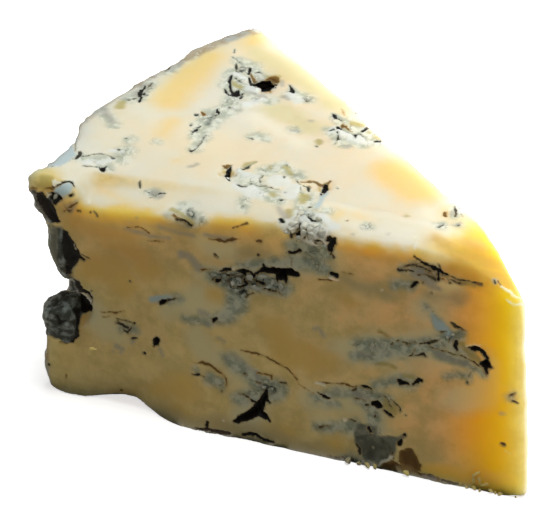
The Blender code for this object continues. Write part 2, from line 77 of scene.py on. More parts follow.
FRONT_MARKS = {
    "hole": [
        # the long slit and its belly
        [(38.7, 38), (39.3, 38.9), (41.2, 39.3), (41.5, 38.8), (40.6, 38.4)],
        [(42, 38.7), (42.8, 39.4), (45.1, 39.4), (45.7, 39), (46.4, 39.5), (46.9, 40.2), (47.1, 41.2),
         (47.5, 41.5), (47.9, 41), (48.8, 40.9), (49.2, 41.3), (50, 41.1), (51.2, 41.5), (52.6, 41.8),
         (53.3, 42), (53.7, 41.5), (54.4, 41.1), (54.8, 40.6), (54.2, 40.2), (53.2, 40.1), (52.3, 39.8),
         (52.2, 38.9), (52, 38.1), (51.6, 38.2), (51.4, 38.9), (50.6, 38.6), (50.2, 38.1), (49.9, 38.5),
         (49.9, 39.6), (48.6, 39.8), (47.4, 39.6), (46.6, 39.2), (46, 38.4), (45.6, 37.9), (45.2, 38.2),
         (45.1, 38.8), (44.2, 38.7), (43.9, 37.8), (43.4, 37.8), (43, 38.5)],
        [(45.7, 37.5, .15), (46.6, 37.1, .2), (47.3, 37, .3)],
        [(43.4, 37, .25), (43.9, 36.3, .25), (43.1, 35.3, .3), (42.4, 35.1, .15)],
        [(38.2, 35.6, .35), (38.7, 35.9, .2)], [(47.8, 36, .2), (48.6, 36.1, .25)],
        # the star by the foot
        [(41.9, 3.9, .4), (43.1, 5, .7), (44.8, 6.3, .8), (46.3, 7.6, 1.15), (46.9, 9.3, .8),
         (47.9, 11.1, .6), (48.3, 12.6, .25)],
        [(46.6, 7.5, .9), (48.3, 6.4, .6), (49, 5.8, .3)], [(45.2, 9.9, .2), (46.6, 9.5, .5)],
        [(47.8, 11, .5), (49, 10.2, .2)],
        # the crescent near the point
        [(87.7, 31.9), (88.4, 32.4), (89.2, 32.8), (89.9, 32.8), (90.5, 32.3), (91.2, 31.8), (91.6, 31),
         (91.9, 30.4), (91.9, 29.6), (92.2, 29), (92.7, 28.6), (92.3, 28.3), (91.8, 28.3), (91.8, 27.4),
         (91.9, 26.9), (91.6, 26.7), (91.4, 27.4), (91.1, 28.2), (90.5, 28.6), (90.4, 29.4), (90.9, 29.8),
         (91.2, 30.2), (90.8, 30.8), (90.4, 31.6), (89.8, 31.9), (89, 31.4), (88.2, 31.6)],
        # the pockets of the rind corner
        [(1.4, 47.6), (3, 48.1), (3.4, 47.4), (4.2, 46.4), (4.8, 45.4), (5.2, 44.6), (5.6, 43), (6.2, 41.9),
         (5.4, 41.6), (4.6, 41.8), (3.8, 42.4), (3, 43.4), (2.2, 44.6), (1.6, 46)],
        [(6.9, 40.4), (7.6, 39.9), (8.2, 38.9), (8.9, 38.1), (9.2, 37.2), (9.8, 36.6), (10, 35.6),
         (9.8, 34.3), (8.9, 33), (8.3, 32.2), (7.9, 30.9), (6.9, 30.6), (6.7, 32), (7.1, 33.8), (6.6, 35.4),
         (6.4, 37.4)],
        [(9.8, 27.9), (11.4, 27.3), (12.2, 26.1), (12, 24), (11.6, 23), (10.2, 22.2), (9.2, 22.6),
         (9, 24.4), (9.4, 26.4)],
        [(7.2, 29.2, .5), (8.4, 28.8, .6), (9.6, 28, .5)],
        [(8.4, 22.4, .6), (8.6, 20.6, .45), (8.6, 18.4, .3), (8.5, 16.4, .3), (7.6, 14.8, .25)],
        [(4.7, 20.2, .35), (5.2, 18.9, .4), (6.4, 19.6, .25)], [(4.6, 48.2, .2), (4.6, 47, .2)],
        [(4.9, 46, .25), (6.2, 47.4, .25)], [(8.3, 48.4, .12), (9.1, 49, .15)],
        [(5, 49.6, .1), (6.7, 51, .15), (8.6, 51.4, .15), (9.2, 50.4, .12)],
        [(9.6, 35, .3), (10.6, 34.4, .25)], [(7.7, 44.8, .12)],
        # spots and short gashes
        [(25.7, 19.4, .6), (25.3, 18.6, .6), (24.9, 17.6, .2)], [(26.6, 28, .4), (27.3, 28.5, .3)],
        [(2.2, 8, .4)], [(61, 42.3, .5), (62, 42, .4)],
        [(52.5, 45.3, .2), (53.3, 45.2, .3), (54, 45.6, .2), (54.7, 46, .4)],
        [(37.5, 26.6, .3), (38, 27, .2)],
        [(60.3, 50.4, .15), (60.9, 49.8, .3), (60.5, 48.4, .25), (60.1, 47.2, .12)],
        [(76.5, 42.8, .25), (77, 43.5, .45), (77.5, 43.9, .2)],
        [(78.2, 48.5, .15), (80.3, 48, .35), (81.8, 47.4, .4), (83.2, 47, .2)],
        [(81.4, 47.3, .25), (81.4, 45.7, .25)], [(67.4, 18.3, .25), (68.4, 18.4, .35), (69.4, 18.2, .3)],
        [(85.5, 32.9, .25), (85.2, 31.4, .3), (85.7, 31, .25)],
        [(69.6, 15.6), (70.6, 16), (71.6, 15), (71.6, 14.6), (70.8, 14.3), (70, 14.6), (69.5, 15)],
        [(72, 14.1), (72.8, 13.9), (74, 13.1), (73.2, 12.9), (72.4, 13.2)],
        [(74.4, 21.9), (75.2, 21.8), (76.6, 21.4), (76.8, 21), (75.8, 20.8), (75, 20.9), (74.4, 21.4)],
        [(77.5, 21.2, .2), (78.4, 21.9, .3), (78.6, 22.8, .25)], [(78.6, 22.4, .2), (79.2, 22.6, .25)],
        [(58.8, 14.9), (59.6, 13.9), (60.6, 13.8), (61.2, 14.2), (60.4, 14.3), (59.4, 14.6)],
        [(75.1, 6.9, .5), (75.6, 7.8, .3)], [(76.2, 9, .35)], [(69.1, 9.2, .3), (69.4, 8.2, .25)],
        [(33.5, .3, .3), (36, .6, .5), (40.6, .8, .35)], [(36.1, .8, .35), (36.2, 2.5, .3)],
        [(43.6, 1.3, .4), (46, 1.7, .45), (49.6, .8, .25)],
    ],
    "crack": [
        [(20.3, 31.7, .3)], [(38, 41.7, .25), (38.4, 41.2, .3)], [(46.6, 43.2, .3)], [(23, 15.6, .35)],
        [(95.5, 12.1, .35)], [(88, 24.2, .3)], [(11.9, 27.6, .3)], [(10.2, 35.7, .15), (11.8, 35.1, .15)],
        [(27, 28.2, .3), (28.6, 29.3, .3), (30.2, 30.1, .15)], [(39.2, 10.6, .3)],
        [(33, 13, .15), (34.3, 13.4, .25), (35.5, 13.1, .15)],
        [(17, 21.2, .2), (18.3, 21.3, .4), (19.3, 20.8, .3)],
        [(17.3, 22.3, .15), (18.8, 22.3, .3), (20, 22.2, .15)],
        [(18.4, 20.2, .25), (19.4, 19.5, .35), (20.1, 21, .12)], [(20.8, 22, .35)],
        [(20.4, 18.5, .3), (21.3, 18.7, .15)], [(30, 47.6, .3), (31.6, 47.4, .3), (33.2, 47.2, .2)],
        [(5, 14.1, .12), (7, 14.4, .15)],
        # the curds under the slit
        [(44, 36.9, .15), (45, 36.6, .15)], [(48.4, 36, .25), (50.4, 35.9, .2), (51.4, 35.2, .15)],
        [(37.2, 35.7, .25)], [(43.9, 33.1, .15), (44.4, 33.9, .25), (45.6, 34.4, .12)],
        [(39.4, 37.4, .15), (41, 37.6, .25), (42.4, 37.6, .2)], [(60.8, 46.6, .2), (61.4, 45.8, .15)],
        [(53.1, 43.8, .12), (53.2, 42.3, .12)], [(40.2, 36.4, .12), (41.4, 35, .12)],
        # cracks of the curds on the top edge
        [(52.6, 50.3, .2), (53, 49.1, .25), (54.2, 49.6, .3), (54.6, 51.8, .25)],
        [(55.6, 49.2, .2), (55.8, 50.5, .25), (56.9, 51.3, .2)],
        [(57.5, 49, .2), (58.6, 49.3, .3), (59.4, 48.7, .2)], [(51.3, 51.6, .35)], [(59.3, 51.3, .3)],
        # the dark streaks under the top edge
        [(76.8, 49.6, .2), (78.4, 48.5, .2)],
        [(83, 47, .2), (85, 46.5, .15), (88.9, 46.3, .12), (89.5, 46.2, .2)],
        [(75, 46.8, .15), (76.6, 47.5, .2), (78.4, 47.4, .2), (80, 47, .2)],
        [(73.8, 46, .12), (76.7, 46.3, .15)], [(79.9, 48.4, .1), (82.4, 46.8, .12), (83.8, 45.4, .1)],
        [(81.9, 46.8, .12), (84.6, 45.9, .12), (86.6, 45.7, .08)],
        [(77.6, 45.4, .1), (79.4, 46, .12), (81, 45.8, .1)], [(79.8, 45.9, .2), (80.8, 45.4, .3)],
        [(81.5, 48.7, .2), (81.9, 47.6, .3)], [(78.7, 44.3, .2)], [(80.4, 42.5, .2)],
        [(84.5, 36.8, .2), (85.2, 36.1, .3), (86.4, 35.7, .15)],
        # the main grey vein
        [(73.1, 29.4, .25), (73.3, 29.9, .2)], [(74.1, 30.4, .25)], [(75.3, 30.3, .25), (76.4, 30.1, .25)],
        [(77.4, 30.8, .25)], [(78.4, 30.6, .12), (80.4, 31.4, .2), (82.2, 32.4, .15)],
        [(76.4, 27.6, .12), (77.4, 28, .2), (78.4, 28.2, .15), (79.4, 28.5, .35), (79.8, 28.2, .2)],
        [(77.2, 28.2, .2), (77.6, 29.4, .12)],
        [(80.6, 30.6, .1), (83, 30.2, .15), (86, 29.8, .15), (89, 29, .15), (90.4, 28.2, .12)],
        [(82.2, 34.2, .15), (83.6, 34.6, .12)], [(83.9, 33.4, .15), (84.1, 32.4, .12)],
        [(71.9, 17.4, .2), (73, 16.3, .2), (73.4, 15, .12)],
        [(73.4, 16.8, .15), (74.8, 15.6, .25), (75.2, 14.8, .15)], [(76.1, 13.9, .15)], [(68.8, 14.6, .35)],
        [(70.2, 12.3, .2), (70.4, 13.4, .15)], [(65.5, 16.9, .2), (66.2, 17.6, .15)],
        [(66.2, 15.4, .12), (68.2, 15.6, .2)], [(96.3, 23.5, .35), (97.3, 24, .3)],
        [(96.8, 22.2, .12), (98, 21.9, .12)], [(88.2, 25.6, .12), (88.6, 26.4, .12)],
        [(46.2, 14.9, .15), (46.9, 14.2, .2)], [(43.9, 15.9, .25)],
        [(42.6, 10.6, .15), (43.6, 10.8, .2), (44.6, 10.4, .15)], [(51.2, 15.4, .3), (52.2, 15.5, .15)],
        [(66.6, 4.8, .15), (67.3, 3.6, .3), (67.4, 2.4, .2)], [(74.1, 4.6, .15), (74.1, 3.2, .2)],
        [(59.1, 6.9, .3), (60, 7.4, .2), (61.4, 8, .1)], [(65.2, 10, .12), (66.4, 10, .12)],
        [(84, .6, .25), (87.4, .4, .2)], [(61.4, .5, .25), (64, .5, .3)], [(80, .8, .3), (82.6, .5, .25)],
    ],
    "brown": [
        [(13.8, 23.1, .12), (16.8, 23.6, .2), (19, 24.3, .12)], [(14.4, 22, .25), (15.4, 22.3, .2)],
        [(34.9, 37.3, .15), (37.1, 38, .15)],
        [(36.6, 44.5, .1), (38, 44.8, .25), (39.8, 44.9, .2), (41.4, 45.6, .3), (42.8, 46, .1)],
        [(46.2, 46.3, .2), (47, 46.3, .25)],
        [(33.2, 15.8, .2), (35, 16.3, .25), (36.6, 16.1, .3), (38.6, 15, .3), (39.8, 13.8, .2),
         (40, 12, .15)],
        [(43, 20.9, .15), (46, 21, .2), (50, 20.2, .25), (52.6, 18.9, .2), (54.6, 17, .15)],
        [(54.8, 16, .1), (57.6, 14.5, .1)],
        [(59.4, 17.2, .25), (61, 17.6, .15), (64, 18, .2), (66.2, 18, .25)], [(38.1, 41.4, .35)],
        [(46.6, 43.3, .35)], [(46.2, 16.4, .12), (47.6, 16.9, .2), (49.2, 16.5, .25), (49.4, 15.6, .2)],
        [(41.4, 48, .12), (44.4, 49.8, .25)], [(29.4, 48.2, .3), (31.6, 47.6, .3)],
        [(58.5, 40.4, .2), (61, 40.9, .15)], [(63.2, 43.2, .12), (65, 42.9, .15)],
        [(88.6, 46.2, .3), (89.6, 46.2, .3)], [(17.5, 5.2, .3)], [(5.7, 5.4, .2), (5.8, 6.4, .15)],
        [(92.8, 47.6, .2), (93.4, 47, .15)], [(76, 47.7, .1), (79, 47.9, .12), (81, 47.1, .1)],
        [(79, 46.7, .1), (81.6, 46.3, .15), (83, 45.5, .1)],
        [(20, 43.8, .1), (22.4, 44.2, .15), (24.4, 43.4, .1)], [(24, 41.6, .1), (27.4, 42, .12)],
        [(70.6, 31.5, .12), (72.6, 30.6, .1)], [(85.6, 36, .3), (87.4, 35.5, .15)], [(12.5, 45.6, .2)],
        [(9.8, 45.1, .25), (10.4, 45.2, .2)], [(6.8, 44.2, .15), (8.6, 46.2, .2), (9.6, 46.8, .12)],
        [(.2, 48.5, .3), (1.6, 48.4, .25)], [(3.2, 48.7, .2), (4.8, 49.2, .25)],
        [(7.3, 45.6, .2), (7.8, 44.8, .3), (8.6, 45.2, .15)],
        [(75.5, 5.4), (76.4, 5.8), (77.2, 6.4), (78.1, 6.1), (78.9, 4.9), (79.4, 3.6), (80, 2.8),
         (79.7, 1.4), (78, 1), (76.4, .9), (75.5, 2.2), (75.1, 3.8)],
        [(71.2, .4), (72.4, 1.6), (74, 2.7), (75.4, 2.2), (76.4, 1), (80, 1.4), (84, 1), (84, .1),
         (71.2, .1)],
    ],
    "olive": [
        [(1.2, 49.6), (4.6, 50.6), (4.8, 49.8), (3.4, 48.9), (1.6, 48.6)],
        [(70.2, 24.1, .2), (72, 24.7, .35), (74, 24.2, .25)],
        [(71.8, 17), (74.4, 15.6), (74.2, 13.6), (71.6, 15)],
        [(87, 31.2), (87.6, 31.6), (90.2, 30.4), (90.4, 29), (88.2, 29.8)],
        [(76, 22.8, .4), (77.4, 22.8, .5)], [(85.4, 45.9, .3), (88.4, 45.8, .3)],
        [(3.2, 40.6), (4.6, 41.2), (4.4, 37), (4.4, 33.4), (3.2, 34.6)], [(70.6, 31.6, .3), (72.2, 31, .2)],
        [(86.6, 32.4, .5)],
    ],
    "grey": [
        [(7, 46), (8.4, 46.8), (9.9, 47.8), (9.6, 46.2), (9, 45), (8, 44.4)],
        [(5.6, 46.8, .5), (6.6, 47.8, .3)], [(17, 15.8, .6), (18.2, 15.3, .5), (18, 14.4, .3)],
        [(16.2, 14.4, .2)], [(20.3, 17.9, .5), (20.2, 17, .2)], [(26.2, 17.2, .4), (26.9, 16.1, .2)],
        [(35, 28, .6), (35.8, 27.8, .5)], [(36, 25.2, .3), (36.4, 25.8, .3)],
        [(31, 40.1, .9), (32.4, 39.9, .8), (34.4, 38, 1)],
        [(41.6, 19.9, .2), (44, 17.6, .35), (46, 16.6, .3), (47.2, 14, .3)],
        [(38.2, 22.9, .2), (39.6, 22.2, .15)], [(57.7, 29.4, .4), (58.4, 29.9, .3), (59.6, 28.2, .4)],
        [(22, 46.2, .2)], [(19.6, 43.4, .3), (24.6, 42.8, .4), (28.4, 43, .3)],
        [(26.6, 45, .3), (33.4, 44.8, .3)], [(94.8, 18.9, .3), (95.4, 18.7, .2)],
        [(65.8, 16.4, .5), (68.2, 16, .5)], [(62, 16, .3), (62.7, 16.5, .2)],
        [(79.6, 44.4, .8), (81.6, 43.6, .6)], [(77.6, 46, 1.4), (80.4, 45.2, 1)],
        [(71.4, 27.4, .3), (72.8, 26.9, .3)], [(71.2, 26, .3)], [(69, 27.8, .4), (70.2, 27.6, .3)],
        [(79.2, 32.2, .35)], [(66.4, 25.8, .3), (68.8, 25.4, .4)], [(74, 22.1, .3)],
        [(5.2, 40.4, .5), (6, 40.2, .6)], [(36, 45.4, .5), (41.4, 45.4, .5)],
        [(82, 29.4, .5), (88, 28, .5)],
    ],
    "bloom": [
        # under the slit, and down from it
        [(37, 36.6, 1.2), (42, 36.4, 2.2), (47, 37.4, 2), (51.5, 36.8, 1.2)],
        [(42.4, 35, 1.8), (42, 31, 1.7), (40.6, 28, 1.2), (36, 26, .8), (31.6, 25.6, .4)],
        [(43, 40.2, .4), (45.6, 40.8, .8), (50, 42.4, .7), (52.8, 42.8, .4)],
        [(40.4, 18, 1.2), (43.6, 16.4, 1), (47, 14.2, 1.8), (50.6, 14, 1.8)],
        [(42.4, 9.4, 1), (44.4, 10.8, 1), (50, 12.6, 1.4)], [(36.8, 12.9, 1.1), (38.6, 12.3, .8)],
        [(33.8, 14, .6)], [(28.4, 29, .4), (30.6, 29.8, .3)], [(18.6, 20.6, 1), (20.6, 20.4, .8)],
        # the grey block under the curds of the top edge
        [(53.6, 47, 1.2), (57.4, 46.6, 1.7), (59.6, 46.4, 1.2)],
        [(53.6, 43.4, .9), (57, 43.8, 1.3), (60, 43, .8)],
        # the main vein, its haze and its end at the crescent
        [(67, 27.2, 1.4), (71, 28.3, 1.6), (75, 29, 1.6), (79.5, 30.4, 1.2), (83, 32.4, 1.3),
         (86, 34.2, .8)],
        [(66, 25.4, 1), (69.6, 25.6, 1.2), (72.6, 27, .8)],
        [(79, 39.2, .3), (80.6, 37.6, .4), (82.4, 35.6, 1), (83.6, 34.6, .9)],
        [(84.6, 31.4, 1), (87.8, 30.6, .7)], [(82, 29.6, .7), (87.6, 28, .8), (91, 27, .5)],
        [(73.6, 42.6, .7), (76, 42.8, .6)], [(76.8, 46.8, 1), (80, 46.8, 1.4)], [(74.6, 46.4, .5)],
        # the lower vein
        [(70.4, 19.3, .5), (72.6, 20.4, .7), (75, 21.4, .9), (77.8, 22, .8)],
        [(66.4, 17, .8), (69.6, 17, 1), (72.6, 16.8, .8)],
        [(58.4, 13.6, .9), (62, 15.4, .8), (66, 16.4, .9), (69.6, 14, 1.2)],
        [(70.2, 14, .9), (70.2, 11.4, 1.2), (69.8, 9.6, .7)],
        [(58.8, 6.8, .4), (62, 7.6, .9), (66, 8.6, 1.2)], [(60.2, 12.9, .6), (62.6, 12.8, .4)],
        [(84.6, 25, .7), (88, 25.8, .6)], [(96.6, 23.2, .6)], [(65, .4, .9), (69.6, .2, .8)],
        [(70.8, 7.8, .3), (71.2, 10.2, .4)],
    ],
    "curd": [
        [(37.6, 36.4, .5), (40, 36.8, 1.1), (42.6, 37, 1.1), (45.4, 37, .8), (48, 37.6, 1),
         (50.6, 37.2, .7)],
        [(41.2, 34.8, .8), (43, 34.4, 1)], [(83.6, 33.2, .4), (84.4, 34, .3)],
        [(47.6, 13.4, .5), (49.6, 13.4, .5)], [(64.6, .5, .4), (69.6, .5, .4)],
        [(4.4, 47.4, .4), (5.6, 47.4, .5)],
    ],
    "slate": [
        [(6.2, 30.4), (8, 30), (9.6, 29.2), (9.9, 28), (10.4, 27.3), (11.4, 27), (12, 26.2), (11.8, 25),
         (11.6, 23.6), (10.8, 22.8), (10, 22.2), (9.4, 21.2), (9, 20), (8.8, 18.5), (8.7, 17), (8.2, 15.6),
         (7.4, 14.6), (6, 14.4), (4.6, 14.9), (3.2, 15), (1, 15), (-3, 15.6), (-3, 24), (1, 26), (3, 27),
         (3.4, 30), (4.6, 31)],
        [(5.6, 40.4), (7.4, 40), (9.8, 35.6), (9.6, 34.4), (8, 31), (6.6, 30), (5.2, 31.6), (5, 33.4),
         (5.4, 37)],
        [(0, 48.8), (1.6, 48.4), (2.2, 46), (3.6, 43), (5, 41.8), (4.2, 41), (2.6, 41.8), (0, 44.6)],
        [(3.4, 48.2), (5.4, 48.2), (6.4, 47.6), (5.2, 45.8), (4, 46.4)],
    ],
    "ash": [
        [(66.4, 9.4), (67.4, 10), (69, 10), (70.4, 9.6), (70.6, 8.6), (70.6, 7.4), (72.4, 7.9), (74.6, 8.4),
         (75.6, 9), (76.4, 9.4), (76.8, 9), (76, 8.2), (75.4, 7.6), (74.8, 7), (74.6, 6), (74.4, 4.8),
         (74.1, 3.4), (73.2, 2.6), (72, 1.8), (71.2, .8), (70, 1.2), (68, 1.6), (67.4, 3.6), (66.2, 5.2),
         (66.2, 8.2)],
        [(4.2, 41), (6.6, 40.6), (6.9, 39.4), (6.6, 37), (6.4, 35), (6.6, 33), (6.8, 31.4), (6.4, 30),
         (4.6, 30.8), (3.8, 33.5), (3.6, 37)],
        [(2.6, 40.8), (4, 41.2), (4, 37), (4.2, 33), (2, 34), (1.4, 38)],
    ],
    "blue": [
        [(24.8, 28.4, .8), (28.6, 29.6, .5)], [(80.4, 37.6, .3), (82.4, 35.4, 1), (83.8, 34.4, .7)],
        [(59.6, 48.4, .35), (60.2, 47.4, .3)],
        [(4.9, 48.3), (5, 49.3), (5.8, 49.8), (6.6, 50.8), (7.6, 51), (8.6, 51.2), (8.9, 50.2), (8.6, 49.2),
         (8, 48.6), (7, 48), (5.8, 48)],
    ],
    "white": [
        [(51.8, 50.6, 1.1), (53.6, 51, 1.5), (56, 50.8, 1.7), (58.6, 50.6, 1.5), (59.6, 49.6, .5)],
    ],
    # pale flakes and crack edges, raised a little; their pale colour also paints the highlights on these
    # ridges
    "pale": [
        [(93.6, 46.6, .1), (95.6, 45.4, .2), (97.6, 44.8, .15)],
        [(94.4, 43.9, .1), (96.6, 43.4, .15), (98.6, 43.6, .1)], [(96, 10.6, .1), (97.2, 10, .1)],
        [(58.4, 17.1, .2), (59.8, 16.9, .2)], [(3.4, 48.1, .15), (4, 47.6, .3), (3.8, 47.1, .15)],
        [(70.6, 40.6, .12), (70.8, 41, .12)], [(64.4, 9.9, .25)], [(39.4, 3.6, .2)],
        [(60.6, 41.4, .25), (62.2, 41.2, .15)], [(12, 47.6, .4)], [(70.1, 4.7, .15)],
        [(6.4, 51, .1), (5.2, 50.6, .3)], [(11.7, 26.6, .25)], [(8.5, 37.3, .15), (9.2, 36.5, .15)],
        [(87.4, 32.1, .12), (89, 33.2, .15), (90.2, 33, .12)], [(41.7, 39.2, .35)],
        [(71.2, .6, .15), (72, 1.8, .2), (73.4, 2.8, .2), (74, 3.8, .15)],
    ],
    "butter": [
        [(64.4, 49.8, .6), (65.4, 49.3, .3)], [(44, 49.9, .6)], [(1, 50.2, 1), (4, 49.8, 1)],
    ],
    "golden": [
        # painted light: the next two lines paint the ochre band of light shining through the rounded top edge
        [(9, 45, .8), (20, 46, 1), (30, 47.2, 1), (45, 48.8, .8)],
        [(63, 49.4, .8), (70, 49, 1), (76, 49.4, .6)],
        # deeper ochre paste in patches
        [(10, 43, 2), (14, 42, 2.4), (19, 40, 2.4), (24, 35, 2)], [(12, 33, 2.4), (17, 34, 3), (19, 30, 2)],
        [(26, 8, 1.6), (31, 9, 3)], [(50, 27, 2.4), (53, 23, 3.4), (59, 22, 3)], [(64, 37, .6)],
        # painted shade: the last three patches on the next line, at the foot
        [(38, 32.6, 1.4)], [(30, 3, 2)], [(62, 2.6, 2)], [(52, 3.4, 2)],
    ],
    # painted glow: a band of light shining through the paste under the top edge, and along the foot near the
    # point
    "honey": [
        [(9, 45.6, .4), (20, 46.6, .7), (28, 47.6, .5)], [(34, 48.2, .4), (44, 49.6, .4)],
        [(62, 49.8, .5), (70, 50, .9), (77, 50, .5)], [(80, 2, .4), (88, 2.6, 1.2), (97, 3, 1.8)],
    ],
    # painted shade: darker paste along the foot and in patches high on the front cut, where shade falls
    "dusky": [
        [(18, 1.6, .6), (30, 2, 1), (44, 2, 1.2), (60, 1.6, 1), (68, 1.8, .4)],
        [(26, 46.2, .6), (33, 46.6, .5)], [(64, 41, .6), (72, 40, 1)], [(80, 42, .3), (86, 42, .3)],
        [(57, 44.4, .8), (60, 45, .8)], [(43, 43, .2), (47, 43.6, .4)],
    ],
    # painted shade: deeper orange where the faces by the point lean away from the light
    "amber": [
        [(84, 48.8, .6), (90, 48.8, 2), (97, 48.4, 3)],
    ],
    # paler paste; here, at the top edge, it paints the light that the rounded edge loses
    "milky": [
        [(62, 51.4, .6), (74, 52, 1)],
    ],
    # greyer, duller paste by the veins, which also paints some of the front's shade
    "dull": [
        [(29, 27, 2), (35, 30, 3.4), (41, 33, 3), (36, 37, 2)], [(34, 22, 2), (37, 18, 2.4)],
        [(42, 17, 2.4), (46, 12, 3), (44, 5, 3)], [(16, 19, 2.6), (12, 22, 2)],
        [(54, 44, 2.4), (60, 45, 2.6)], [(36, 43, 1.6), (41, 43, 1.4)],
        [(64, 26, 2.6), (72, 28, 3.4), (80, 29, 3), (86, 29, 2)], [(76, 31, 2), (82, 33, 2)],
        [(58, 13, 2), (64, 14, 2.4), (70, 13, 2.4)], [(60, 8, 1.6), (66, 9, 1.6), (71, 10, 1.4)],
        [(74, 21, 1.8)], [(86, 20, 2.4), (92, 22, 3), (92, 29, 2.4)], [(80, 39, 3), (83, 44, 2)],
    ],
}

# ---------------------------------------------------------------- marks of the top
# The same, with points (x, sideways from the axis) for (along, height).

